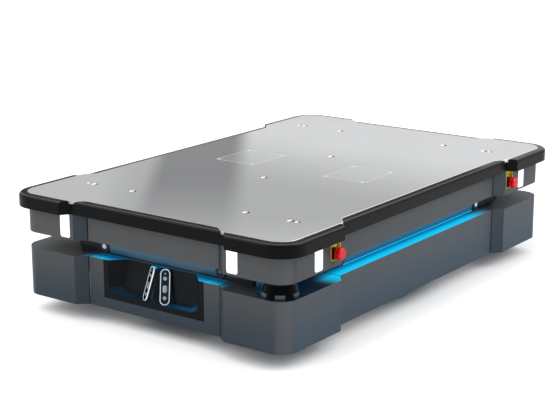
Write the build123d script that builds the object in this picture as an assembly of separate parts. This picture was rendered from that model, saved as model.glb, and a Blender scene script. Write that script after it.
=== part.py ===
from build123d import *
import os
from math import atan2, cos, degrees, radians, sin, sqrt

# Automated guided vehicle with a flat load deck. Millimetres, +X forward, +Y left, +Z up,
# origin on the floor under the middle of the vehicle.

# Overall size
vehicle_length = 1350.0
vehicle_width = 900.0
deck_height = 322.0
fit_gap = 0.3
overcut = 1.0
match_tolerance = 0.1

# Levels of the covers
skirt_bottom = 47.0
slot_height = 41.0
upper_cover_height = 69.0
bumper_height = 35.0
bumper_drop = 1.0
plate_thickness = 8.0

# Plan of the covers and of the deck plate
bumper_overhang = 25.0
plate_overhang = 3.0
cover_step = 24.0
cover_corner_radius = 47.0
corner_cover_width = 183.0
end_step_run = 28.0
corner_cover_length = 230.0
side_step_run = 30.0
cover_wall = 3.0
panel_gap = 3.0
lower_cover_inset = 0.5
plate_step_radius = 14.0
plate_edge_chamfer = 1.2

# Bumpers
corner_bumper_width = 184.0
bumper_end_lean = 16.5
corner_bumper_length = 232.0
bumper_side_lean = 15.0
bumper_seat = 14.0
bumper_shoulder = 9.0
bumper_joint_gap = 1.0
bumper_plate_gap = 0.8

# Core walls, which carry the deck
core_end_inset = 68.0
core_side_inset = 72.0
core_cut_length = 101.0
core_cut_width = 73.0
core_wall = 4.0
core_drop = 26.0

# Deck frame
deck_tube_width = 46.0
deck_tube_wall = 3.0
deck_tube_hole_gap = 1.0
deck_cross_inset = 99.0
deck_cross_spacings = 3

# Deck hole patterns
load_hole_radius = 5.1
load_countersink_radius = 9.5
countersink_depth = 2.0
inner_hole_inset = 168.0
corner_hole_inset = 33.0
dowel_radius = 4.0
dowel_countersink_radius = 7.0
dowel_offset = 20.0

# Deck hatches
hatch_length = 157.0
hatch_width = 134.0
hatch_thickness = 3.0
hatch_centre_x = -20.4
hatch_hole_offset = 1.2
hatch_ledge = 12.0
hatch_corner_radius = 3.0
hatch_screw_inset = 8.0
screw_head_radius = 3.4
screw_shank_radius = 2.0
screw_socket_radius = 1.6
screw_length = 7.0
screw_socket_depth = 1.2

# Chassis
rail_inset = 213.0
rail_width = 40.0
rail_height = 50.0
rail_wall = 4.0
cross_tube_width = 50.0
cross_tube_height = 40.0
cross_tube_wall = 4.0
middle_cross_x = -215.0
front_cross_inset = 34.0
post_width = 40.0
pan_bottom = 36.0
pan_wall = 4.0
pan_end_gap = 22.0

# Battery and drive electronics on the belly pan
battery_length = 400.0
battery_side_gap = 5.7
battery_headroom = 22.0
battery_end_gap = 50.0
battery_edge = 6.0
handle_span = 120.0
handle_height = 16.0
handle_bar = 10.0
controller_length = 380.0
controller_side_gap = 15.7
controller_headroom = 26.0
controller_end_gap = 130.0
fin_count = 11
fin_height = 14.0
fin_thickness = 4.0

# Light bars, proximity sensors and signal lights
end_bar_depth = 8.0
side_bar_depth = 18.0
light_bar_height = 30.0
light_bar_rise = 22.0
light_bar_nose = 3.0
end_bar_inset = 106.0
side_bar_inset = 152.0
sensor_ring_radius = 15.0
sensor_ring_depth = 6.0
sensor_lens_radius = 8.0
sensor_lens_depth = 4.0
sensor_lens_dome = 4.0
sensor_body_rise = 8.0
signal_width = 32.0
signal_rise = 5.5
signal_radius = 6.0
signal_gap = 0.6
signal_proud = 0.6
signal_depth = 6.0
end_signal_inset = 155.0
side_signal_inset = 133.5

# Emergency stops
stop_inset = 204.0
stop_drop = 35.0
stop_pocket_width = 41.0
stop_pocket_rise = 16.0
stop_pocket_depth = 10.0
stop_pocket_wall = 2.0
stop_pocket_radius = 9.0
stop_collar_radius = 14.0
stop_collar_proud = 1.5
stop_stem_radius = 8.0
stop_head_radius = 15.5
stop_head_length = 16.0
stop_head_edge = 3.5
stop_travel = 4.0
stop_pin_radius = 4.0
stop_body_wall = 2.0
stop_body_length = 24.0
stop_bore_spare = 2.0
turn_clearance = 0.05

# Control panel on the rear left corner cover
panel_inset = 100.0
panel_width = 68.0
panel_rise = 9.0
panel_drop = 8.0
panel_thickness = 6.0
button_radius = 8.0
button_spacing = 34.0
button_height = 4.0
button_cap_length = 8.0
button_edge = 1.5
button_travel = 3.0
button_travel_spare = 1.0
button_stem_radius = 5.0
button_bezel = 3.0
button_bezel_proud = 2.0
button_guide_depth = 20.0
knob_radius = 11.0
knob_inset = 46.0
knob_rise = 13.0
knob_length = 20.0
knob_disc = 7.0
knob_grip_width = 6.0
knob_grip_inset = 1.0
knob_pin_radius = 4.0
knob_pin_depth = 9.0
knob_collar_radius = 8.0
knob_collar_depth = 16.0
knob_collar_proud = 1.0

# Camera recess in the front panel
recess_side_gap = 50.5
recess_rise = 28.0
recess_core_gap = 0.4
recess_floor = 16.0
recess_side_wall = 14.0
pocket_back_wall_top = 4.6
pocket_back_wall_low = 19.6
pocket_taper_top = 39.5
pocket_taper_low = 21.5
pocket_radius = 25.0
camera_face_depth = 27.6
camera_face_y = 27.4
camera_yaw = 31.0
camera_tilt = 17.0
camera_overlap = 5.0
camera_width = 25.0
camera_depth = 10.5
camera_proud = 8.0
camera_window_inset = 2.2
camera_window_depth = 1.2
camera_window_recess = 0.4

# Laser scanners at two opposite corners
scanner_inset = 56.0
scanner_base_radius = 50.0
scanner_base_drop = 20.0
scanner_seat_drop = 5.0
scanner_window_low_radius = 49.5
scanner_window_top_radius = 38.0
scanner_cap_height = 11.0
scanner_window_wall = 2.5
scanner_ring_radius = 52.0
scanner_collar_depth = 10.0
scanner_cap_radius = 39.0
scanner_spindle_radius = 5.0
mirror_radius = 16.0
mirror_height = 24.0
mirror_rise = 4.0
bracket_width = 70.0
bracket_thickness = 5.0

# Drive wheels on rocking bogies
wheel_x = -20.0
wheel_radius = 100.0
wheel_side_gap = 17.0
wheel_width = 70.0
tyre_thickness = 16.0
tyre_groove = 3.0
tyre_groove_count = 3
tyre_edge = 3.0
hub_web = 14.0
hub_rim = 8.0
hub_hole_radius = 12.0
hub_hole_circle = 52.0
hub_hole_count = 6
hub_boss_radius = 26.0
hub_boss_inset = 4.0
axle_radius = 15.0
axle_end_gap = 1.0
pivot_x = 160.0
pivot_radius = 15.0
pivot_cap_radius = 22.0
pivot_cap = 5.0
arm_thickness = 12.0
arm_gap = 2.0
arm_pivot_boss = 30.0
arm_wheel_boss = 44.0
arm_front_height = 10.0
arm_neck = 24.0
arm_taper_length = 40.0
arm_taper_depth = 16.0
arm_pad_wall = 20.0
motor_flange = 8.0
motor_radius = 52.0
motor_length = 44.0
gearbox_radius = 42.0
gearbox_length = 36.0

# Swivel casters
caster_end_inset = 102.0
caster_side_inset = 73.0
caster_trail = 45.0
caster_headroom = 14.7
caster_wheel_width = 34.0
caster_axle_radius = 6.0
caster_side_gap = 2.0
caster_leg = 5.0
caster_crown_radius = 34.0
caster_crown_thickness = 10.0
caster_stem_radius = 12.0
caster_axle_boss = 14.0
caster_nut_radius = 15.0
caster_nut_height = 6.0
caster_pad = 70.0
caster_hub_wall = 9.0
caster_web_inset = 6.0
caster_tread_depth = 16.0
caster_tread_slope = 2.0
caster_tread_inset = 1.0
caster_tread_edge = 4.0

# Levels that follow from the deck height
bumper_top = deck_height - bumper_drop
bumper_bottom = bumper_top - bumper_height
plate_bottom = deck_height - plate_thickness
bumper_ledge = plate_bottom - fit_gap
slot_top = bumper_bottom - upper_cover_height
slot_bottom = slot_top - slot_height
core_bottom = slot_bottom - core_drop
rail_bottom = core_bottom - rail_height
pivot_z = rail_bottom + rail_height / 2
pan_floor = pan_bottom + pan_wall
battery_height = core_bottom - pan_floor - battery_headroom
controller_height = core_bottom - pan_floor - controller_headroom
caster_crown_low = core_bottom - fit_gap - caster_crown_thickness
caster_wheel_radius = (caster_crown_low - caster_headroom) / 2
light_bar_centre_z = slot_bottom + light_bar_rise
sensor_body_low = slot_bottom + sensor_body_rise
signal_low = slot_top + signal_rise
signal_high = bumper_bottom - fit_gap
stop_z = bumper_bottom - stop_drop
stop_pocket_low = slot_top + stop_pocket_rise
panel_low = slot_top + panel_rise
panel_high = bumper_bottom - panel_drop
button_z = (panel_low + panel_high) / 2
knob_z = slot_top + knob_rise
recess_bottom = skirt_bottom + recess_rise
pocket_floor = recess_bottom + recess_floor
camera_face_z = (pocket_floor + slot_bottom) / 2
camera_length = slot_bottom - pocket_floor + camera_overlap
scanner_base_low = slot_bottom - scanner_base_drop
scanner_seat_z = slot_bottom - scanner_seat_drop
scanner_window_top = slot_top - scanner_cap_height
mirror_low = scanner_seat_z + mirror_rise

# Places along the vehicle, from its length
half_x = vehicle_length / 2 - bumper_overhang
cover_front_x = half_x - cover_step
side_step_outer = half_x - corner_cover_length
side_step_inner = side_step_outer - side_step_run
bumper_side_joint_outer = vehicle_length / 2 - corner_bumper_length
bumper_side_joint_inner = bumper_side_joint_outer - bumper_side_lean
core_half_x = half_x - core_end_inset
core_cut_x = core_half_x - core_cut_length
rail_half_length = core_half_x - core_wall - fit_gap
front_cross_x = core_half_x - front_cross_inset
deck_cross_outer_x = core_half_x - deck_cross_inset
deck_cross_inner_x = deck_cross_outer_x / deck_cross_spacings
pan_half_length = core_half_x - pan_end_gap
battery_centre_x = battery_end_gap + battery_length / 2 - pan_half_length
controller_centre_x = pan_half_length - controller_end_gap - controller_length / 2
end_face_x = core_half_x + end_bar_depth
side_bar_half_length = core_cut_x - side_bar_inset
side_signal_x = half_x - side_signal_inset
stop_x = half_x - stop_inset
recess_back = core_half_x + recess_core_gap
pocket_back_top = recess_back + pocket_back_wall_top
pocket_back_low = recess_back + pocket_back_wall_low
camera_face_x = recess_back + camera_face_depth
scanner_x = half_x - scanner_inset
caster_x = core_half_x - caster_end_inset

# Places across the vehicle, from its width
half_y = vehicle_width / 2 - bumper_overhang
end_step_outer = half_y - corner_cover_width
end_step_inner = end_step_outer - end_step_run
recess_half_width = end_step_inner - recess_side_gap
pocket_half_width = recess_half_width - recess_side_wall
pocket_half_top = pocket_half_width - pocket_taper_top
pocket_half_low = pocket_half_width - pocket_taper_low
bumper_end_joint_outer = vehicle_width / 2 - corner_bumper_width
bumper_end_joint_inner = bumper_end_joint_outer - bumper_end_lean
core_half_y = half_y - core_side_inset
core_cut_y = core_half_y - core_cut_width
inner_hole_y = core_half_y - inner_hole_inset
corner_hole_y = core_half_y - corner_hole_inset
hatch_centre_y = inner_hole_y - hatch_hole_offset
rail_half_spacing = core_half_y - rail_inset
rail_outer_y = rail_half_spacing + rail_width / 2
rail_inner_y = rail_half_spacing - rail_width / 2
tray_half_width = rail_inner_y - fit_gap
tray_inner_half = tray_half_width - pan_wall
battery_width = 2 * (tray_inner_half - battery_side_gap)
controller_width = 2 * (tray_inner_half - controller_side_gap)
side_face_y = core_half_y + side_bar_depth
end_bar_half_length = core_cut_y - end_bar_inset
end_signal_y = half_y - end_signal_inset
panel_centre_y = half_y - panel_inset
knob_y = half_y - knob_inset
scanner_y = half_y - scanner_inset
wheel_outer_y = core_half_y - wheel_side_gap
wheel_inner_y = wheel_outer_y - wheel_width
arm_outer_y = wheel_inner_y - arm_gap
arm_inner_y = arm_outer_y - arm_thickness
caster_y = core_half_y - caster_side_inset

# Other derived sizes
bumper_corner_radius = cover_corner_radius + bumper_overhang
button_cap_back = button_cap_length - button_height - button_bezel_proud
corners = [(sx, sy) for sx in (1, -1) for sy in (1, -1)]
sides = (1, -1)


# Shared builders
def block(x, y, z):
    """Box given by its low and high values along each axis."""
    size = [high - low for low, high in (x, y, z)]
    centre = [(high + low) / 2 for low, high in (x, y, z)]
    return Pos(*centre) * Box(*size)


def near(value, target):
    """Whether two sizes are the same within a small tolerance."""
    return abs(value - target) < match_tolerance


def cylinder_between(start, end, radius):
    """Cylinder from one point to another."""
    direction = Vector(*end) - Vector(*start)
    return extrude(Plane(start, z_dir=direction) * Circle(radius), direction.length)


def to_corner(solid, sx, sy):
    """Copy of a piece made for the front left corner, moved to another corner."""
    if sx < 0:
        solid = mirror(solid, about=Plane.YZ)
    if sy < 0:
        solid = mirror(solid, about=Plane.XZ)
    return solid


def prism(outline, low, high):
    """Plan outline raised between two levels."""
    return extrude(Pos(0, 0, low) * outline, high - low)


def tube(x, y, z, wall, along):
    """Rectangular tube with open ends along X or Y."""
    outer = block(x, y, z)
    if along == "x":
        return outer - block(x, (y[0] + wall, y[1] - wall), (z[0] + wall, z[1] - wall))
    return outer - block((x[0] + wall, x[1] - wall), y, (z[0] + wall, z[1] - wall))


def stepped_outline(size_x, size_y, radius, end_step, side_step):
    """Rounded plan outline whose middle stretches are set back by the cover step."""
    quarter = [
        (size_x - cover_step, end_step[1]),
        (size_x, end_step[0]),
        (size_x, size_y),
        (side_step[0], size_y),
        (side_step[1], size_y - cover_step),
    ]
    mirrored_x = [(-x, y) for x, y in reversed(quarter)]
    rear = [(-x, -y) for x, y in quarter]
    right = [(x, -y) for x, y in reversed(quarter)]
    outline = make_face(Polyline(*quarter, *mirrored_x, *rear, *right, close=True))
    tips = [v for v in outline.vertices() if near(abs(v.X), size_x) and near(abs(v.Y), size_y)]
    return fillet(tips, radius)


def cover_outline(inset=0.0):
    """Outline of the covers, moved inwards by the inset."""
    end_step = (end_step_outer, end_step_inner)
    side_step = (side_step_outer, side_step_inner)
    outline = stepped_outline(half_x, half_y, cover_corner_radius, end_step, side_step)
    if inset:
        outline = offset(outline, -inset, kind=Kind.INTERSECTION)
    return outline


def core_outline(outset=0.0):
    """Eight-sided outline of the core walls, moved outwards by the outset."""
    quarter = [(core_half_x, core_cut_y), (core_cut_x, core_half_y)]
    points = (
        quarter
        + [(-x, y) for x, y in reversed(quarter)]
        + [(-x, -y) for x, y in quarter]
        + [(x, -y) for x, y in reversed(quarter)]
    )
    outline = make_face(Polyline(*points, close=True))
    if outset:
        outline = offset(outline, outset, kind=Kind.INTERSECTION)
    return outline


def save(name, *solids):
    """Write one node, made of one or more separate solids."""
    pieces = [piece for solid in solids for piece in solid.solids()]
    shape = pieces[0] if len(pieces) == 1 else Compound(children=pieces)
    shape.label = name
    export_step(shape, f"parts/{name}.step")


# Chassis, core and deck frame
def chassis_rails():
    """Two long rectangular tubes that carry the belly pan and the bogie pivots."""
    return [
        tube(
            (-rail_half_length, rail_half_length),
            (side * rail_half_spacing - rail_width / 2, side * rail_half_spacing + rail_width / 2),
            (rail_bottom, core_bottom),
            rail_wall,
            "x",
        )
        for side in sides
    ]


def cross_tube(x):
    """Tube across the chassis, on top of the rails, with its ends cut to the core walls."""
    whole = tube(
        (x - cross_tube_width / 2, x + cross_tube_width / 2),
        (-core_half_y, core_half_y),
        (core_bottom, core_bottom + cross_tube_height),
        cross_tube_wall,
        "y",
    )
    return whole & prism(core_outline(-core_wall - fit_gap), 0, deck_height)


def chassis_cross_tubes():
    """Cross tubes. The rear one has the bores of the rear casters."""
    rear = cross_tube(-caster_x)
    for side in sides:
        bore = Pos(-caster_x, side * caster_y, core_bottom + cross_tube_height / 2)
        rear -= bore * Cylinder(caster_stem_radius + turn_clearance, cross_tube_height * 2)
    return [rear, cross_tube(middle_cross_x), cross_tube(front_cross_x)]


def deck_posts():
    """Square posts from the rails up to the deck frame."""
    half = post_width / 2
    return [
        block(
            (sx * deck_cross_inner_x - half, sx * deck_cross_inner_x + half),
            (sy * rail_half_spacing - half, sy * rail_half_spacing + half),
            (core_bottom, bumper_bottom),
        )
        for sx, sy in corners
    ]


def belly_pan():
    """Folded tray between the rails, which holds the battery and the electronics."""
    length = (-pan_half_length, pan_half_length)
    outer = block(length, (-tray_half_width, tray_half_width), (pan_bottom, core_bottom))
    inner_width = (-tray_inner_half, tray_inner_half)
    inner = block((-vehicle_length, vehicle_length), inner_width, (pan_floor, vehicle_length))
    folds = [edge for edge in outer.edges().filter_by(Axis.X) if edge.center().Z < pan_floor]
    return fillet(folds, pan_wall) - inner


def core_walls():
    """Sheet walls round the core: sides, ends and the cut corners behind the scanners."""
    ring = prism(core_outline() - core_outline(-core_wall), core_bottom, bumper_bottom)
    joint = fit_gap / 2
    side_zone = block((-core_cut_x + joint, core_cut_x - joint), (0, vehicle_width), (0, deck_height))
    end_zone = block((0, vehicle_length), (-core_cut_y + joint, core_cut_y - joint), (0, deck_height))
    beyond = (core_cut_x + joint, vehicle_length)
    corner_zone = block(beyond, (core_cut_y + joint, vehicle_width), (0, deck_height))
    side_wall = ring & side_zone
    end_wall = ring & end_zone
    corner_wall = ring & corner_zone
    walls = [side_wall, mirror(side_wall, about=Plane.XZ), end_wall, mirror(end_wall, about=Plane.YZ)]
    return walls + [to_corner(corner_wall, sx, sy) for sx, sy in corners]


def load_holes():
    """Centres of the threaded load holes in the deck."""
    outer = [(sx * deck_cross_outer_x, sy * y) for y in (corner_hole_y, inner_hole_y) for sx, sy in corners]
    return outer + [(sx * deck_cross_inner_x, 0.0) for sx in sides]


def dowel_holes():
    """Centres of the locating holes outside the corner load holes."""
    return [(sx * deck_cross_outer_x, sy * (corner_hole_y + dowel_offset)) for sx, sy in corners]


def drilled(solid, centres, radius, low, high):
    """Solid with upright holes through it."""
    for x, y in centres:
        solid -= cylinder_between((x, y, low), (x, y, high), radius)
    return solid


def deck_frame():
    """Tubes under the deck plate: two side rails and six cross tubes."""
    rail_inner = core_half_y - deck_tube_width
    rail_end = core_half_x - deck_tube_width - fit_gap
    rails = [
        tube(
            (-rail_end, rail_end),
            sorted((side * rail_inner, side * core_half_y)),
            (bumper_bottom, plate_bottom),
            deck_tube_wall,
            "x",
        )
        for side in sides
    ]
    half = deck_tube_width / 2
    end_x = core_half_x - half
    cross = []
    for x in (deck_cross_inner_x, deck_cross_outer_x, end_x):
        reach = core_half_y if x == end_x else rail_inner - fit_gap
        for side in sides:
            span = (side * x - half, side * x + half)
            cross.append(tube(span, (-reach, reach), (bumper_bottom, plate_bottom), deck_tube_wall, "y"))
    holes = [
        (load_holes(), load_hole_radius + deck_tube_hole_gap),
        (dowel_holes(), dowel_radius + deck_tube_hole_gap),
    ]
    tubes = []
    trim = prism(core_outline(), bumper_bottom, plate_bottom)
    for piece in rails + cross:
        piece &= trim
        for centres, radius in holes:
            piece = drilled(piece, centres, radius, bumper_bottom - overcut, deck_height)
        tubes.append(piece)
    return tubes


# Deck plate and hatches
def countersunk(plate, centres, radius, rim_radius):
    """Plate with threaded holes that open in a shallow cone."""
    for x, y in centres:
        plate -= cylinder_between((x, y, plate_bottom - overcut), (x, y, deck_height + overcut), radius)
        cone = Cone(radius, rim_radius, countersink_depth, align=(Align.CENTER, Align.CENTER, Align.MAX))
        plate -= Pos(x, y, deck_height) * cone
    return plate


def plate_outline():
    """Outline of the deck plate: a little outside the covers, with its steps eased into curves."""
    outline = cover_outline(-plate_overhang)
    end_tip = end_step_outer + cover_step
    side_tip = side_step_outer + cover_step
    steps = [v for v in outline.vertices() if abs(v.X) < side_tip or abs(v.Y) < end_tip]
    return fillet(steps, plate_step_radius)


def top_plate():
    """Flat load deck with its stepped outline, bevelled rim, holes and hatch pockets."""
    plate = prism(plate_outline(), plate_bottom, deck_height)
    rim = plate.faces().sort_by(Axis.Z)[-1].outer_wire().edges()
    plate = chamfer(rim, plate_edge_chamfer)
    plate = countersunk(plate, load_holes(), load_hole_radius, load_countersink_radius)
    plate = countersunk(plate, dowel_holes(), dowel_radius, dowel_countersink_radius)
    for side in sides:
        centre = Pos(hatch_centre_x, side * hatch_centre_y, 0)
        seat = RectangleRounded(hatch_length, hatch_width, hatch_corner_radius)
        opening = Rectangle(hatch_length - 2 * hatch_ledge, hatch_width - 2 * hatch_ledge)
        plate -= centre * prism(seat, deck_height - hatch_thickness, deck_height + overcut)
        plate -= centre * prism(opening, plate_bottom - overcut, deck_height)
        for x, y in hatch_screw_places(side):
            hole_low = (x, y, deck_height - screw_length - fit_gap)
            plate -= cylinder_between(hole_low, (x, y, deck_height), screw_shank_radius + fit_gap)
    return plate


def hatch_screw_places(side):
    """Centres of the four screws of one hatch."""
    dx = hatch_length / 2 - hatch_screw_inset
    dy = hatch_width / 2 - hatch_screw_inset
    return [(hatch_centre_x + sx * dx, side * hatch_centre_y + sy * dy) for sx, sy in corners]


def hatch_cover(side):
    """Flush lid with countersinks for its screws."""
    lid = RectangleRounded(hatch_length - 2 * fit_gap, hatch_width - 2 * fit_gap, hatch_corner_radius)
    centre = Pos(hatch_centre_x, side * hatch_centre_y, 0)
    cover = centre * prism(lid, deck_height - hatch_thickness, deck_height)
    for x, y in hatch_screw_places(side):
        cover -= Pos(x, y, 0) * screw_outline(fit_gap)
    return cover


def screw_outline(gap=0.0):
    """Countersunk screw with its head flush with the deck, made larger by the gap."""
    head_height = screw_head_radius - screw_shank_radius
    head = Cone(
        screw_shank_radius + gap,
        screw_head_radius + gap,
        head_height,
        align=(Align.CENTER, Align.CENTER, Align.MAX),
    )
    shank = cylinder_between((0, 0, -screw_length), (0, 0, -head_height), screw_shank_radius + gap)
    return Pos(0, 0, deck_height) * (head + shank)


def hatch_screws():
    """Eight countersunk screws with hexagon sockets."""
    socket = extrude(Pos(0, 0, deck_height) * RegularPolygon(screw_socket_radius, 6), -screw_socket_depth)
    screw = screw_outline() - socket
    return [Pos(x, y, 0) * screw for side in sides for x, y in hatch_screw_places(side)]


# Bumpers round the deck
def bumper_outline():
    """Outer plan outline of the bumpers."""
    return stepped_outline(
        vehicle_length / 2,
        vehicle_width / 2,
        bumper_corner_radius,
        (bumper_end_joint_outer, bumper_end_joint_inner),
        (bumper_side_joint_outer, bumper_side_joint_inner),
    )


def end_joint_y(x):
    """Where the slanted joint of an end bumper lies at a given distance forward."""
    slope = (bumper_end_joint_outer - bumper_end_joint_inner) / cover_step
    return bumper_end_joint_outer + slope * (x - vehicle_length / 2)


def side_joint_x(y):
    """Where the slanted joint of a side bumper lies at a given distance sideways."""
    slope = (bumper_side_joint_outer - bumper_side_joint_inner) / cover_step
    return bumper_side_joint_outer + slope * (y - vehicle_width / 2)


def shoulder(piece):
    """Round the outer top edges of a bumper piece."""
    rim = bumper_outline().wire()
    edges = []
    for edge in piece.edges():
        middle = edge.position_at(0.5)
        flat = all(near(edge.position_at(end).Z, bumper_top) for end in (0, 1))
        if flat and near(rim.distance_to(Vertex(middle.X, middle.Y, 0)), 0):
            edges.append(edge)
    return fillet(edges, bumper_shoulder)


def bumper_zones():
    """Plan zones of the front left corner, of one end and of one side."""
    near_x = half_x - cover_step - 2 * bumper_seat
    near_y = half_y - cover_step - 2 * bumper_seat
    far_x = vehicle_length
    far_y = vehicle_width
    corner = [
        (near_x, end_joint_y(near_x)),
        (far_x, end_joint_y(far_x)),
        (far_x, far_y),
        (side_joint_x(far_y), far_y),
        (side_joint_x(near_y), near_y),
        (near_x, near_y),
    ]
    gap = bumper_joint_gap
    end = [(near_x, end_joint_y(near_x) - gap), (far_x, end_joint_y(far_x) - gap)]
    end += [(x, -y) for x, y in reversed(end)]
    side = [(side_joint_x(near_y) - gap, near_y), (side_joint_x(far_y) - gap, far_y)]
    side += [(-x, y) for x, y in reversed(side)]
    return [prism(make_face(Polyline(*zone, close=True)), 0, deck_height) for zone in (corner, end, side)]


def bumper_piece(zone):
    """One piece of the rubber band: rounded outside, seated on the covers and under the plate."""
    piece = shoulder(prism(bumper_outline(), bumper_bottom, bumper_top) & zone)
    piece -= prism(cover_outline(bumper_seat), bumper_bottom, bumper_ledge)
    return piece - prism(offset(plate_outline(), bumper_plate_gap), bumper_ledge, bumper_top)


def bumpers():
    """Corner bumpers and straight bumpers."""
    corner_piece, end_piece, side_piece = [bumper_piece(zone) for zone in bumper_zones()]
    straight = [end_piece, mirror(end_piece, about=Plane.YZ), side_piece, mirror(side_piece, about=Plane.XZ)]
    return [to_corner(corner_piece, sx, sy) for sx, sy in corners], straight


# Covers
def cover_shell(low, high, flange_low, inset):
    """Cover wall all round the vehicle, with a flange that reaches in to the core."""
    outer = cover_outline(inset)
    wall = prism(outer - cover_outline(inset + cover_wall), low, high)
    ledge = cover_outline(inset + cover_wall / 2) - core_outline(fit_gap)
    return wall + prism(ledge, flange_low, flange_low + cover_wall)


def cover_zones():
    """Zones of the front left corner cover, the front panel and the left panel."""
    gap = panel_gap / 2
    reach = vehicle_length
    corner = block((side_step_inner + gap, reach), (end_step_inner + gap, reach), (0, deck_height))
    end = block((0, reach), (-end_step_inner + gap, end_step_inner - gap), (0, deck_height))
    side = block((-side_step_inner + gap, side_step_inner - gap), (0, reach), (0, deck_height))
    return corner, end, side


def signal_shape(plane, gap):
    """Rounded lens of a signal light on a plane inside the cover, made larger by the gap."""
    height = signal_high - signal_low
    lens = RectangleRounded(signal_width + 2 * gap, height + 2 * gap, signal_radius + gap)
    return extrude(plane * lens, signal_depth + signal_proud)


def end_signal_shape(gap):
    """Lens of the signal light on an end face, made larger by the gap."""
    centre = (half_x - signal_depth, end_signal_y, (signal_low + signal_high) / 2)
    return signal_shape(Plane(centre, x_dir=(0, 1, 0), z_dir=(1, 0, 0)), gap)


def side_signal_shape(gap):
    """Lens of the signal light on a side face, made larger by the gap."""
    centre = (side_signal_x, half_y - signal_depth, (signal_low + signal_high) / 2)
    return signal_shape(Plane(centre, x_dir=(-1, 0, 0), z_dir=(0, 1, 0)), gap)


def signal_lights():
    """Eight white lenses, two at each corner."""
    return [
        to_corner(shape, sx, sy)
        for sx, sy in corners
        for shape in (end_signal_shape(0.0), side_signal_shape(0.0))
    ]


def stop_pocket_outline(shrink):
    """Outline of the emergency stop pocket, on its upright plane."""
    height = signal_high - stop_pocket_low
    shape = Pos(0, stop_pocket_low + height / 2 - stop_z) * Rectangle(
        stop_pocket_width - 2 * shrink, height - 2 * shrink
    )
    lower = shape.vertices().sort_by(Axis.Y)[:2]
    return fillet(lower, stop_pocket_radius - shrink)


def stop_plane(y):
    """Plane across the emergency stop's axis, facing outwards."""
    return Plane((stop_x, y, stop_z), x_dir=(-1, 0, 0), z_dir=(0, 1, 0))


def upper_corner_covers():
    """Four upper corner covers with openings for the lights, the stops and the controls."""
    shell = cover_shell(slot_top, bumper_bottom, slot_top, 0.0) & cover_zones()[0]
    shell -= end_signal_shape(signal_gap)
    shell -= side_signal_shape(signal_gap)
    pocket_back = stop_plane(half_y - stop_pocket_depth)
    shell -= extrude(pocket_back * stop_pocket_outline(-fit_gap), 2 * stop_pocket_depth)
    covers = [to_corner(shell, sx, sy) for sx, sy in corners]
    panel = control_panel_opening(fit_gap)
    knob_hole = rear_cylinder(knob_y, knob_z, -overcut, knob_collar_depth, knob_collar_radius + fit_gap)
    rear_left = corners.index((-1, 1))
    covers[rear_left] = covers[rear_left] - panel - knob_hole
    return covers


def upper_panels():
    """Upper middle panels of the two ends and the two sides."""
    shell = cover_shell(slot_top, bumper_bottom, slot_top, 0.0)
    corner, end, side = cover_zones()
    end_panel = shell & end
    side_panel = shell & side
    return [end_panel, mirror(end_panel, about=Plane.YZ), side_panel, mirror(side_panel, about=Plane.XZ)]


def lower_covers():
    """Lower corner covers, side panels, front panel and rear panel."""
    shell = cover_shell(skirt_bottom, slot_bottom, slot_bottom - cover_wall, lower_cover_inset)
    corner_zone, end_zone, side_zone = cover_zones()
    corner = shell & corner_zone
    collar = Pos(scanner_x, scanner_y, slot_bottom - scanner_collar_depth / 2) * Cylinder(
        scanner_ring_radius + cover_wall, scanner_collar_depth
    )
    scanner_corner = corner + (collar & prism(cover_outline(lower_cover_inset), skirt_bottom, slot_bottom))
    seat = Pos(scanner_x, scanner_y, slot_bottom)
    scanner_corner -= seat * Cylinder(scanner_ring_radius, 4 * scanner_collar_depth)
    face, _ = bracket_plane()
    scanner_corner -= block_on_plane(
        face, bracket_width + 2 * fit_gap, bracket_thickness + fit_gap, skirt_bottom, slot_top
    )
    corner_covers = [to_corner(scanner_corner if sx == sy else corner, sx, sy) for sx, sy in corners]
    side_panel = shell & side_zone
    side_panels = [side_panel, mirror(side_panel, about=Plane.XZ)]
    end_panel = shell & end_zone
    opening_half = recess_half_width + fit_gap
    opening = block(
        (recess_back - fit_gap, half_x),
        (-opening_half, opening_half),
        (recess_bottom - fit_gap, slot_bottom + overcut),
    )
    return corner_covers, side_panels, end_panel - opening, mirror(end_panel, about=Plane.YZ)


# Camera recess and depth cameras
def camera_plane(side, depth):
    """Plane of one depth camera, at a depth behind its face, with its long axis up."""
    yaw = radians(side * camera_yaw)
    tilt = radians(camera_tilt)
    normal = Vector(cos(tilt) * cos(yaw), cos(tilt) * sin(yaw), sin(tilt))
    across = Vector(-sin(yaw), cos(yaw), 0)
    centre = Vector(camera_face_x, side * camera_face_y, camera_face_z) - normal * depth
    return Plane(centre, x_dir=across, z_dir=normal)


def camera_outline(inset):
    """Long rounded outline of a depth camera, its length upright."""
    width = camera_width - 2 * inset
    return Rotation(0, 0, 90) * SlotOverall(camera_length - 2 * inset, width)


def pocket_side(back, half_back):
    """Ends of a pocket's side wall in plan, drawn on past the front of the recess."""
    slope = (pocket_half_width - half_back) / (cover_front_x - back)
    return [(half_x, half_back + slope * (half_x - back)), (back, half_back)]


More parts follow.
